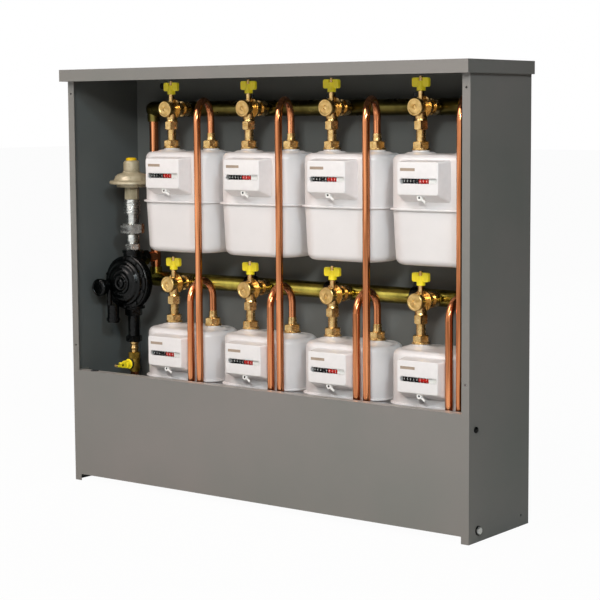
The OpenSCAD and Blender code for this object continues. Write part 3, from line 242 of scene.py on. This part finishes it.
def turned_face(name):
    """Brass turned to a flat face, with rings round the middle of each valve's end cap.

    The tool leaves rings 0.2 mm apart. They are drawn 2.6 mm apart so that they show.
    """
    made, tree, shader, place = start(name, Metallic=1.0, Roughness=0.3, Anisotropic=0.8)
    drifting_colour(tree, shader, place, 9, "#d6b67a", "#b28e50")
    middle = Vector((INLETS[0], 0, UPPER + VALVE_RISE)) * MM
    half = Vector((METER_PITCH / 2, 1000, (UPPER - LOWER) / 2)) * MM
    cell = {"operation": "WRAP", 1: middle + half, 2: middle - half}
    around = add(tree, "ShaderNodeVectorMath", cell, {0: place})
    flat = centred(tree, around.outputs[0], middle)
    rings = rings_around(tree, flat, 2.6)
    bump = add(tree, "ShaderNodeBump", {"Strength": 1.0, "Distance": 0.03 * MM}, {"Height": rings})
    tangent = add(tree, "ShaderNodeVectorMath", {"operation": "CROSS_PRODUCT", 1: (0, 1, 0)}, {0: flat})
    tree.links.new(bump.outputs[0], shader.inputs["Normal"])
    tree.links.new(tangent.outputs[0], shader.inputs["Tangent"])
    return made


def drawn_copper():
    """Hard drawn copper tube: orange brown, with darker tarnish in streaks and fine lines along it.

    The die's lines are drawn 1.5 mm wide, coarser than real ones, so that they show.
    """
    made, tree, shader, place = start("drawn_copper_tube", Metallic=1.0)
    drifting_colour(tree, shader, place, 5, "#f4a472", "#8f5330", squeeze=(1, 1, 0.03))
    rough = mottle(tree, place, 5, 0.12, 0.24, squeeze=(1, 1, 0.15))
    tree.links.new(rough, shader.inputs["Roughness"])
    uneven(tree, shader, place, 1.5, 0.02, 0.3, squeeze=(1, 1, 0.05))
    return made


def gloss_black(name, ridges=None):
    """Black gloss paint over a rough aluminium casting: deep black with small sharp highlights.

    The casting's grain is about 1 mm, and is drawn 4 mm wide so that it shows under the paint.
    Ridges gives the middle of the low rings, 12 mm apart, that a cover has round it.
    """
    made, tree, shader, place = start(name, Roughness=0.09, IOR=1.5, **{"Specular IOR Level": 0.2})
    drifting_colour(tree, shader, place, 15, "#010202", "#030404")
    height, depth = mottle(tree, place, 4, 0, 1, 2.0), 0.4 * MM
    if ridges:
        rings = rings_around(tree, centred(tree, place, ridges), 12)
        both = add(tree, "ShaderNodeMath", {"operation": "MULTIPLY_ADD", 1: 0.3}, {0: height, 2: rings})
        height, depth = both.outputs[0], 0.8 * MM
    bump = add(tree, "ShaderNodeBump", {"Strength": 1.0, "Distance": depth}, {"Height": height})
    tree.links.new(bump.outputs[0], shader.inputs["Normal"])
    return made


def rubber():
    """Moulded black rubber: matt, with a dry bloom."""
    made, tree, shader, place = start("moulded_rubber", Roughness=0.75, IOR=1.5)
    drifting_colour(tree, shader, place, 3, "#17181a", "#222325")
    uneven(tree, shader, place, 1, 0.03, 0.4)
    return made


coat = powder_coat("powder_coat_grey", "#756f6b", "#6a6964", 0.5)
# Copies of the same coat for the faces inside the cabinet: painted shade, darker on the sides and lid and
# cooler on the back
back_shade_tint_coat = powder_coat("powder_coat_grey_back_shade_tint", "#737573", "#6e706e", 0.6, gloss=0.3)
painted_shade_coat = powder_coat("powder_coat_grey_painted_shade", "#5f6261", "#5a5d5c", 0.6, gloss=0.3)
# A lighter copy of the coat for the front panel's ledge: painted highlight
ledge_highlight_coat = powder_coat("powder_coat_grey_painted_highlight", "#a8a39e", "#9f9a95", 0.4)
enamel = stove_enamel()
index_plastic = moulded_plastic("moulded_abs_white", "#e9e5e5", "#e4e0e0", 0.32)
window_plastic = clear_plastic()
frame_plastic = moulded_plastic("moulded_acetal_white", "#f4f4f2", "#ecece8", 0.5)
wheel_black = moulded_plastic("moulded_acetal_black", "#080808", "#0e0e0e", 0.6, gloss=0.15)
wheel_red = moulded_plastic("moulded_acetal_red", "#c42014", "#b41a10", 0.6, gloss=0.15)
digit_white = moulded_plastic("printed_ink_white", "#ffffff", "#f8f8f6", 0.5)
inner_plastic = moulded_plastic("moulded_housing_grey", "#5b6470", "#525b66", 0.5)
seal_plastic = moulded_plastic("moulded_nylon_white", "#f4f2f0", "#ecebe8", 0.45)
bar_brown = moulded_plastic("printed_ink_brown", "#a99684", "#9d8a79", 0.5)
# The yellow handles carry a painted glow, painted light that keeps them bright in shade
handle_plastic = moulded_plastic("moulded_nylon_yellow_painted_glow", "#f6de2a", "#ead224", 0.35, painted_glow="#e6dc2c")
button_plastic = moulded_plastic("moulded_cap_yellow", "#edc000", "#dfb300", 0.35)
machined_brass = turned_metal("machined_brass", "#d8b880", "#b08c52", 0.18, dull=0.14)
turned_brass = turned_face("turned_brass_face")
dull_brass = turned_metal("tarnished_brass_tube", "#c4b456", "#766a2c", 0.15, dull=0.12, mottle_mm=40)
# A darker copy of the manifold brass: painted shade on the upper manifold, under the lid
painted_shade_brass = turned_metal("brass_tube_painted_shade", "#6e6434", "#453d1c", 0.24, dull=0.14, mottle_mm=40)
inlet_brass = turned_metal("machined_brass_lacquered", "#bfa04c", "#9c7e34", 0.26, dull=0.14)
copper = drawn_copper()
zinc = turned_metal("zinc_plated_steel", "#dcdcd6", "#aeb0ae", 0.18, dull=0.16)
bright_zinc = turned_metal("bright_zinc_plating", "#ffffff", "#f2f2ee", 0.34)
beige_cast = turned_metal("beige_coated_die_casting", "#b6aa8f", "#a69a7f", 0.26, mottle_mm=12, metallic=0.12)
casting_black = gloss_black("black_gloss_on_casting")
cover_black = gloss_black("black_gloss_on_ridged_casting", Vector((TRAIN_X, 0, REGULATOR_Z)) * MM)
grommet_rubber = rubber()

FINISH = {
    "back_panel": coat, "left_side_panel": coat, "right_side_panel": coat, "lid": coat, "front_panel": coat,
    "cable_grommet": grommet_rubber, "panel_screws": casting_black, "earth_bolts": bright_zinc,
    # The upper manifold takes the darker brass copy, painted shade
    "upper_manifold": painted_shade_brass, "lower_manifold": dull_brass,
    "manifold_clips": casting_black, "link_pipe": copper,
    "valve_bodies": machined_brass, "valve_end_caps": turned_brass, "valve_tails": machined_brass,
    "union_nuts": machined_brass, "outlet_tails": machined_brass,
    "upper_outlet_pipes": copper, "lower_outlet_pipes": copper, "gas_inlet_pipe": copper,
    "upper_top_casings": enamel, "lower_top_casings": enamel,
    "upper_bottom_casings": enamel, "lower_bottom_casings": enamel,
    "measuring_units": inner_plastic, "index_covers": index_plastic, "index_windows": window_plastic,
    "counter_frames": frame_plastic, "counter_wheels": wheel_black, "seal_tags": seal_plastic,
    "inlet_valve_body": inlet_brass, "inlet_union": machined_brass,
    "regulator_inlet_pipe": casting_black, "regulator_body": casting_black, "regulator_cover": cover_black,
    "regulator_bolts": casting_black, "regulator_cap": casting_black,
    "riser_nipple": zinc, "riser_union_nut": zinc, "riser_coupling": zinc,
    "relief_valve_body": beige_cast, "relief_valve_bonnet": beige_cast,
    "reset_button": button_plastic, "inlet_valve_handle": handle_plastic,
}
for k in range(1, 9):
    FINISH[f"valve_handle_{k}"] = handle_plastic
    FINISH[f"units_wheel_{k}"] = wheel_red

for name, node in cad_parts.items():
    node.data.materials.clear()
    node.data.materials.append(FINISH[name])


def second_finish(name, finish, pick):
    """Gives a node's faces whose middle, in mm, fits pick a finish of their own."""
    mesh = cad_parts[name].data
    mesh.materials.append(finish)
    for face in mesh.polygons:
        if pick(face.center / MM):
            face.material_index = len(mesh.materials) - 1


# The faces that look into the cabinet, between its posts and its back, take copies of the same coat: a darker
# one on the sides and lid, painted shade, and a cooler, less glossy one on the back, a painted shade tint


def between_posts_and_back(p):
    return POSTS_BACK < p.y < BACK_INNER - NEAR


def side_inside(p):
    return abs(abs(p.x) - SIDE_INNER) < 2 * NEAR and between_posts_and_back(p)


def lid_inside(p):
    return abs(p.x) < SIDE_INNER - NEAR and p.z < LID_UNDER + NEAR and between_posts_and_back(p)


second_finish("back_panel", back_shade_tint_coat, lambda p: p.y < BACK_INNER + NEAR)
second_finish("left_side_panel", painted_shade_coat, side_inside)
second_finish("right_side_panel", painted_shade_coat, side_inside)
second_finish("lid", painted_shade_coat, lid_inside)

# The ledge that the front panel's return makes is painted lighter: a painted highlight along its top
ledge_z = max(v.co.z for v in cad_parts["front_panel"].data.vertices) / MM
second_finish("front_panel", ledge_highlight_coat, lambda p: p.z > ledge_z - 0.8 * SHEET)

# Each earthing bolt's washer, which lies on the side panel, takes the black gloss finish
second_finish("earth_bolts", casting_black, lambda p: SIDE_OUTER < abs(p.x) < SIDE_OUTER + EARTH_WASHER)


def brass_inside(x, z):
    """Ball and spindle of a meter valve, below and inside its handle."""
    def pick(p):
        below_hub = p.z < z + VALVE_RISE + HUB_RISE
        return below_hub or math.hypot(p.x - x, p.y - METER_Y) < SPINDLE_RADIUS + RUNNING_FIT
    return pick


def past_black_wheels(p):
    """The wheels of a counter that show decimals stand to the right of its black ones."""
    from_middle = (p.x - INLETS[0] - CONNECTIONS / 2 + METER_PITCH / 2) % METER_PITCH - METER_PITCH / 2
    return from_middle > WHEEL_LEFT + BLACK_WHEELS * WHEEL_PITCH


def in_seal_hole(p):
    return min(math.hypot(p.x - x - CONNECTIONS / 2, p.z - z - SEAL_HOLE_Z)
               for x in INLETS for z in (UPPER, LOWER)) < SEAL_HOLE_RADIUS


for k in range(8):
    second_finish(f"valve_handle_{k + 1}", machined_brass, brass_inside(INLETS[k % 4], (UPPER, LOWER)[k // 4]))
second_finish("counter_wheels", wheel_red, past_black_wheels)
# The faces round each seal tag's hole are drawn in black rubber: painted shade in the hole
second_finish("seal_tags", grommet_rubber, in_seal_hole)


def along_inlet_spindle(p):
    return (p - INLET_VALVE).dot(INLET_SPINDLE)


def from_inlet_spindle(p):
    return (p - INLET_VALVE - along_inlet_spindle(p) * INLET_SPINDLE).length


def inlet_brass_inside(p):
    return along_inlet_spindle(p) < GLAND_END or from_inlet_spindle(p) < SPINDLE_RADIUS + RUNNING_FIT


def inlet_collar(p):
    return GLAND_END < along_inlet_spindle(p) < COLLAR_END and not inlet_brass_inside(p)


second_finish("inlet_valve_handle", machined_brass, inlet_brass_inside)
second_finish("inlet_valve_handle", grommet_rubber, inlet_collar)

# Edges that a casting, a turned part or a moulding has rounded or broken, by the width of the round in mm
BROKEN_EDGES = {
    "valve_bodies": 0.8, "valve_end_caps": 0.5, "valve_tails": 0.5, "union_nuts": 0.5, "outlet_tails": 0.5,
    "manifold_clips": 0.4, "earth_bolts": 0.3, "panel_screws": 0.3, "inlet_valve_body": 0.8, "inlet_union": 0.5,
    "regulator_inlet_pipe": 0.8, "regulator_body": 1.2, "regulator_cover": 1.0, "regulator_bolts": 0.4,
    "regulator_cap": 0.8, "riser_nipple": 0.6, "riser_union_nut": 0.8, "riser_coupling": 0.4,
    "relief_valve_body": 1.0, "relief_valve_bonnet": 0.8, "reset_button": 0.8, "inlet_valve_handle": 0.7,
    "seal_tags": 0.4,
}
for k in range(8):
    BROKEN_EDGES[f"valve_handle_{k + 1}"] = 0.9


def break_edges(node, width):
    """Rounds a node's sharp edges a little and shades its flat faces flat."""
    node.data.shade_smooth()
    weld = node.modifiers.new("weld", "WELD")
    weld.merge_threshold = 0.005 * MM
    edges = node.modifiers.new("edges", "BEVEL")
    edges.width = width * MM
    edges.segments = 2
    edges.limit_method = "ANGLE"
    edges.angle_limit = math.radians(38)
    normals = node.modifiers.new("normals", "WEIGHTED_NORMAL")
    normals.keep_sharp = True
    normals.weight = 100


for name, width in BROKEN_EDGES.items():
    break_edges(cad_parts[name], width)


# Shapes. They are in millimetres until piece() scales them, and join() sets a meter's shapes down at each meter


def turned(profile, segments=48):
    """A shape turned about Z from a profile of radii and heights that starts and ends on the axis or closes."""
    shape = bmesh.new()
    ring = [shape.verts.new((r, 0, z)) for r, z in profile]
    edges = [shape.edges.new(pair) for pair in zip(ring, ring[1:])]
    bmesh.ops.spin(shape, geom=ring + edges, cent=(0, 0, 0), axis=(0, 0, 1), angle=2 * math.pi,
                   steps=segments, use_merge=True)
    bmesh.ops.remove_doubles(shape, verts=shape.verts, dist=0.001)
    bmesh.ops.recalc_face_normals(shape, faces=shape.faces)
    return shape


def block(low, high):
    """A box between two corners."""
    shape = bmesh.new()
    bmesh.ops.create_cube(shape, size=1)
    size = [b - a for a, b in zip(low, high)]
    middle = [(a + b) / 2 for a, b in zip(low, high)]
    bmesh.ops.scale(shape, verts=shape.verts, vec=size)
    bmesh.ops.translate(shape, verts=shape.verts, vec=middle)
    return shape


def bevel(shape, edges, radius, segments):
    bmesh.ops.bevel(shape, geom=edges, offset=radius, offset_type="OFFSET", segments=segments, profile=0.5,
                    affect="EDGES", material=-1)


def round_edges(shape, pick, radius, segments):
    """Rounds the edges whose two ends both fit pick."""
    bevel(shape, [e for e in shape.edges if all(pick(v.co) for v in e.verts)], radius, segments)


def run_along(edge, axis, over):
    """True for an edge that goes further than over along an axis."""
    return abs(edge.verts[0].co[axis] - edge.verts[1].co[axis]) > over


def round_corners(shape, middle, front_radius, back_radius, segments):
    """Rounds the upright edges in front of middle by one radius and those behind it by another."""
    for in_front, radius in ((True, front_radius), (False, back_radius)):
        upright = [e for e in shape.edges if run_along(e, 2, 1)
                   and all((v.co.y < middle) == in_front for v in e.verts)]
        bevel(shape, upright, radius, segments)


def join(shapes, steps=((0, 0, 0),)):
    """One shape of several, set down again at each step; the shapes are used up."""
    whole = bmesh.new()
    for shape in shapes:
        mesh = bpy.data.meshes.new("part")
        shape.to_mesh(mesh)
        shape.free()
        for step in steps:
            before = len(whole.verts)
            whole.from_mesh(mesh)
            whole.verts.ensure_lookup_table()
            bmesh.ops.translate(whole, verts=whole.verts[before:], vec=step)
        bpy.data.meshes.remove(mesh)
    return whole


def piece(name, shape, finish, body, smooth_angle=35, stands_for=()):
    """An object of the shape, scaled from mm to metres, that rides on a body and takes a finish."""
    bmesh.ops.scale(shape, verts=shape.verts, vec=(MM, MM, MM))
    for face in shape.faces:
        face.smooth = True
    for edge in shape.edges:
        edge.smooth = edge.calc_face_angle(math.pi) < math.radians(smooth_angle)
    mesh = bpy.data.meshes.new(name)
    shape.to_mesh(mesh)
    shape.free()
    mesh.materials.append(finish)
    made = bpy.data.objects.new(name, mesh)
    bpy.context.scene.collection.objects.link(made)
    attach(made, body)
    if stands_for:
        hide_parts(*stands_for)


# The casings of a meter

HALF_WIDTH, FRONT, BACK = 97, -63, 67
FRONT_CORNER, BACK_CORNER = 42, 58
TOP, RIM, BOTTOM = -7, -112, -219
RIM_REACH = 5.5
RIM_LOW, RIM_HIGH = RIM - 1.5, RIM + 2


def meter_steps(*rows):
    return [(x + CONNECTIONS / 2, METER_Y, z) for z in rows for x in INLETS]


def bowl(low, high, draft, shoulder, end):
    """A drawn bowl between two levels. Its closed end is at end, where the sides have drawn in by draft."""
    shape = block((-HALF_WIDTH, FRONT, low), (HALF_WIDTH, BACK, high))
    for v in shape.verts:
        if abs(v.co.z - end) < 0.1:
            v.co.x -= math.copysign(draft, v.co.x)
            v.co.y -= math.copysign(draft, v.co.y)
    round_corners(shape, (FRONT + BACK) / 2, FRONT_CORNER, BACK_CORNER, segments=12)
    round_edges(shape, lambda p: abs(p.z - end) < 0.1, shoulder, segments=8)
    return shape


def boss(x):
    """Raised plateau, boss and threaded spigot of a connection at x, drawn up from the top casing."""
    shape = turned([(0, -8), (38, -8), (36, -7), (31, -6.4), (27, -4.6), (24, -3.6), (18.5, -3.3), (16.8, -2.4),
                    (16.5, -0.6), (16, 0), (13.2, 0), (13.2, 9.4), (12.6, 10), (8, 10), (8, -4), (0, -4)])
    bmesh.ops.translate(shape, verts=shape.verts, vec=(x, 0, 0))
    return shape


def top_casings(name, row, node):
    """Top bowl with its two connections."""
    shell = bowl(RIM, TOP, draft=0, shoulder=13, end=TOP)
    shapes = [shell, boss(-CONNECTIONS / 2), boss(CONNECTIONS / 2)]
    piece(name, join(shapes, meter_steps(row)), enamel, "cabinet",
          smooth_angle=40, stands_for=[node])


def bottom_casings(name, row, node):
    """Bottom bowl with the rim that is crimped over the top casing's flange."""
    shell = bowl(BOTTOM, RIM, draft=4, shoulder=14, end=BOTTOM)
    rim = block((-HALF_WIDTH - RIM_REACH, FRONT - RIM_REACH, RIM_LOW),
                (HALF_WIDTH + RIM_REACH, BACK + RIM_REACH, RIM_HIGH))
    round_corners(rim, 0, FRONT_CORNER + 5, BACK_CORNER + 5, segments=14)
    for level in (RIM_LOW, RIM_HIGH):
        round_edges(rim, lambda p, z=level: abs(p.z - z) < 0.1, radius=1.1, segments=3)
    piece(name, join([shell, rim], meter_steps(row)), enamel, "cabinet",
          smooth_angle=40, stands_for=[node])


top_casings("top_casings_upper_row", UPPER, "upper_top_casings")
top_casings("top_casings_lower_row", LOWER, "lower_top_casings")
bottom_casings("bottom_casings_upper_row", UPPER, "upper_bottom_casings")
bottom_casings("bottom_casings_lower_row", LOWER, "lower_bottom_casings")

# Index covers: a moulded hood whose four sides slope, with a slot for the counter

INDEX_LOW, INDEX_HIGH = (-53, -93, -96), (53, -63, -17)
INDEX_FACE_X, INDEX_FACE_Z = (-48.5, 43.5), (-82, -20)
INDEX_FACE_Y, INDEX_BACK_Y = INDEX_LOW[1], INDEX_HIGH[1]
SLOT_HALF_WIDTH, SLOT_HALF_HEIGHT, REBATE = 42.1, 5.9, 1


def nearest_face(shape, depth, pick):
    """The face that fits pick nearest to the middle of the counter's slot, at that depth."""
    middle = Vector((0, depth, WINDOW_Z))
    return min((f for f in shape.faces if pick(f)), key=lambda f: (f.calc_center_median() - middle).length)


def index_cover():
    shape = block(INDEX_LOW, INDEX_HIGH)
    for v in shape.verts:
        if v.co.y < INDEX_FACE_Y + 1:
            v.co.x = INDEX_FACE_X[v.co.x > 0]
            v.co.z = INDEX_FACE_Z[v.co.z > WINDOW_Z]
    bevel(shape, [e for e in shape.edges if run_along(e, 1, 20)], radius=4.5, segments=6)
    round_edges(shape, lambda p: p.y < INDEX_FACE_Y + 0.1, radius=1.6, segments=4)
    back = [f for f in shape.faces if all(v.co.y > INDEX_BACK_Y - 0.1 for v in f.verts)]
    bmesh.ops.delete(shape, geom=back, context="FACES")
    face = max(shape.faces, key=lambda f: f.calc_area() if f.normal.y < -0.99 else 0)
    region = [face] + list(face.edges) + list(face.verts)
    cuts = [((x, 0, 0), (1, 0, 0)) for x in (-SLOT_HALF_WIDTH, SLOT_HALF_WIDTH)]
    cuts += [((0, 0, z), (0, 0, 1)) for z in (WINDOW_Z - SLOT_HALF_HEIGHT, WINDOW_Z + SLOT_HALF_HEIGHT)]
    for point, normal in cuts:
        region = bmesh.ops.bisect_plane(shape, geom=region, plane_co=point, plane_no=normal)["geom"]
    slot = nearest_face(shape, INDEX_FACE_Y, lambda f: f.normal.y < -0.99)
    rebate = bmesh.ops.extrude_discrete_faces(shape, faces=[slot])["faces"][0]
    bmesh.ops.translate(shape, verts=rebate.verts, vec=(0, REBATE, 0))
    corners = {e for v in rebate.verts for e in v.link_edges if run_along(e, 1, 0.9 * REBATE)}
    bevel(shape, list(corners), radius=5.7, segments=8)
    floor_y = INDEX_FACE_Y + REBATE
    floor = nearest_face(shape, floor_y, lambda f: abs(f.calc_center_median().y - floor_y) < 0.01)
    bmesh.ops.inset_individual(shape, faces=[floor], thickness=1.2)
    hole = bmesh.ops.extrude_discrete_faces(shape, faces=[floor])["faces"][0]
    bmesh.ops.translate(shape, verts=hole.verts, vec=(0, 1.5, 0))
    bmesh.ops.delete(shape, geom=[hole], context="FACES")
    bmesh.ops.recalc_face_normals(shape, faces=shape.faces)
    return shape


piece("index_covers_moulded", join([index_cover()], meter_steps(UPPER, LOWER)), index_plastic, "cabinet",
      smooth_angle=50, stands_for=["index_covers"])


# Counter digits: printed on the wheels, ten to a wheel, set to each meter's own reading

FONT_SIZE = 4.9
INK = 0.03
READINGS = ("00018274", "00020461", "00019735", "00021608", "00017953", "00022186", "00018842", "00020317")


def digit(text):
    """A flat digit about 3.5 mm high, with its middle at the origin."""
    curve = bpy.data.curves.new("digit", "FONT")
    curve.body = text
    curve.size = FONT_SIZE
    curve.resolution_u = 2
    holder = bpy.data.objects.new("digit", curve)
    mesh = bpy.data.meshes.new_from_object(holder)
    bpy.data.objects.remove(holder)
    shape = bmesh.new()
    shape.from_mesh(mesh)
    bpy.data.meshes.remove(mesh)
    xs, ys = [v.co.x for v in shape.verts], [v.co.y for v in shape.verts]
    bmesh.ops.translate(shape, verts=shape.verts, vec=(-(min(xs) + max(xs)) / 2, -(min(ys) + max(ys)) / 2, 0))
    return shape


DIGITS = [digit(str(n)) for n in range(10)]


def wheel_digits(shown):
    """Ten digits round a wheel whose axis is X, with the one shown facing forward."""
    shapes = []
    for n, flat in enumerate(DIGITS):
        shape = flat.copy()
        for v in shape.verts:
            turn = v.co.y / WHEEL_RADIUS + math.radians(36) * (shown - n)
            radius = WHEEL_RADIUS + INK
            v.co = (v.co.x, -radius * math.cos(turn), radius * math.sin(turn))
        shapes.append(shape)
    return join(shapes)


def wheel_middle(meter, n):
    x, y, z = meter_steps(UPPER, LOWER)[meter]
    return x + WHEEL_LEFT + (n + 0.5) * WHEEL_PITCH, y + WHEEL_Y, z + WINDOW_Z


fixed = []
for meter, reading in enumerate(READINGS):
    for n, shown in enumerate(reading):
        shape = wheel_digits(int(shown))
        bmesh.ops.translate(shape, verts=shape.verts, vec=wheel_middle(meter, n))
        if n < FIXED_WHEELS:
            fixed.append(shape)
        else:
            piece(f"units_wheel_digits_{meter + 1}", shape, digit_white, f"units_wheel_{meter + 1}")
piece("counter_wheel_digits", join(fixed), digit_white, "cabinet")

# Bare bars on the face of each index, printed brown

bar = block((-41, INDEX_FACE_Y - 0.15, -37), (-8, INDEX_FACE_Y + 0.1, -31.5))
piece("index_bars", join([bar], meter_steps(UPPER, LOWER)), bar_brown, "cabinet")


# Black rubber plugs that close the holes for the wall screws until the cabinet is hung


def hole_plug():
    """A plug turned along Y, with its head towards the inside of the cabinet."""
    shape = turned([(0, 0), (4.3, 0), (4.3, 1.5), (6.5, 1.5), (6.5, 2.4), (5.9, 3), (0, 3)], 32)
    bmesh.ops.rotate(shape, verts=shape.verts, cent=(0, 0, 0), matrix=Matrix.Rotation(math.radians(90), 3, "X"))
    return shape


piece("wall_hole_plugs", join([hole_plug()], WALL_HOLES), grommet_rubber, "cabinet")


# Light and surroundings

CABINET_MIDDLE = Vector((0, 0, 0.45))


def soft_light(name, at, size, watts, colour="#ffffff"):
    """A round area light, aimed at the middle of the cabinet."""
    data = bpy.data.lights.new(name, "AREA")
    data.shape = "DISK"
    data.color = linear(colour)[:3]
    data.size = size
    data.energy = watts
    lamp = bpy.data.objects.new(name, data)
    lamp.location = at
    lamp.rotation_euler = (CABINET_MIDDLE - Vector(at)).to_track_quat("-Z", "Y").to_euler()
    bpy.context.scene.collection.objects.link(lamp)


def seen_directly(tree):
    """1 for what the camera sees, also through a window, 0 for what lights the object or is mirrored in it."""
    rays = add(tree, "ShaderNodeLightPath").outputs
    either = {0: rays["Is Camera Ray"], 1: rays["Is Transmission Ray"]}
    return add(tree, "ShaderNodeMath", {"operation": "MAXIMUM"}, either).outputs[0]


def facing(tree, towards, front, starts, ends, low, high):
    """Rises from low to high where towards turns to the front."""
    along = add(tree, "ShaderNodeVectorMath", {"operation": "DOT_PRODUCT", 1: front}, {0: towards})
    spread = {"From Min": starts, "From Max": ends, "To Min": low, "To Max": high}
    return add(tree, "ShaderNodeMapRange", spread, {"Value": along.outputs["Value"]}).outputs[0]


def surroundings():
    """White to the camera, white at the front and dark elsewhere in reflections, a plain dim level as light."""
    world = bpy.data.worlds.new("studio")
    bpy.context.scene.world = world
    world.use_nodes = True
    tree = world.node_tree
    tree.nodes.clear()
    light = add(tree, "ShaderNodeBackground", {"Color": linear("#e4fff6"), "Strength": 0.03})
    white = add(tree, "ShaderNodeBackground", {"Color": (1, 1, 1, 1), "Strength": 1.0})
    towards = add(tree, "ShaderNodeTexCoord").outputs["Generated"]
    front = Vector((-0.2, -0.96, 0.2)).normalized()
    level = facing(tree, towards, front, starts=0.25, ends=0.95, low=0.03, high=1.7)
    mirrored = add(tree, "ShaderNodeBackground", {"Color": (1, 1, 1, 1)}, {"Strength": level})
    glossy = add(tree, "ShaderNodeLightPath").outputs["Is Glossy Ray"]
    lit = add(tree, "ShaderNodeMixShader", links={0: glossy, 1: light.outputs[0], 2: mirrored.outputs[0]})
    seen = seen_directly(tree)
    mixed = add(tree, "ShaderNodeMixShader", links={0: seen, 1: lit.outputs[0], 2: white.outputs[0]})
    add(tree, "ShaderNodeOutputWorld", links={"Surface": mixed.outputs[0]})


def pale_floor():
    """A wide floor that the cabinet stands on: nearly white to the camera, and lit in front in reflections."""
    shape = bmesh.new()
    bmesh.ops.create_grid(shape, x_segments=1, y_segments=1, size=30)
    bmesh.ops.translate(shape, verts=shape.verts, vec=(0, 0, -0.0005))
    mesh = bpy.data.meshes.new("floor")
    shape.to_mesh(mesh)
    shape.free()
    floor = bpy.data.objects.new("floor", mesh)
    bpy.context.scene.collection.objects.link(floor)
    made, tree, shader, place = start("matt_floor_paint", Roughness=0.9, **{"Base Color": linear("#dcdad6")})
    lit = facing(tree, place, (-0.2, -0.98, 0), starts=0.0, ends=0.6, low=0.0, high=0.9)
    glossy = add(tree, "ShaderNodeLightPath").outputs["Is Glossy Ray"]
    mirrored = add(tree, "ShaderNodeMath", {"operation": "MULTIPLY"}, {0: glossy, 1: lit})
    seen = add(tree, "ShaderNodeMath", {"operation": "MULTIPLY", 1: 0.97}, {0: seen_directly(tree)})
    share = add(tree, "ShaderNodeMath", {"operation": "MAXIMUM"}, {0: seen.outputs[0], 1: mirrored.outputs[0]})
    white = add(tree, "ShaderNodeEmission", {"Color": (1, 1, 1, 1), "Strength": 1.0})
    both = {0: share.outputs[0], 1: shader.outputs[0], 2: white.outputs[0]}
    mixed = add(tree, "ShaderNodeMixShader", links=both)
    tree.links.new(mixed.outputs[0], tree.nodes["Material Output"].inputs["Surface"])
    mesh.materials.append(made)


surroundings()
pale_floor()
soft_light("key_light", (1.9, -3.3, 2.1), size=0.7, watts=64, colour="#fafffd")
soft_light("right_light", (2.95, -2.35, 2.4), size=0.5, watts=44, colour="#e2f5ff")
soft_light("back_light", (-2.6, 3.4, 2.2), size=1.5, watts=50)
soft_light("high_softbox", (-0.9, -2.7, 3.3), size=2.4, watts=92, colour="#ffefe6")
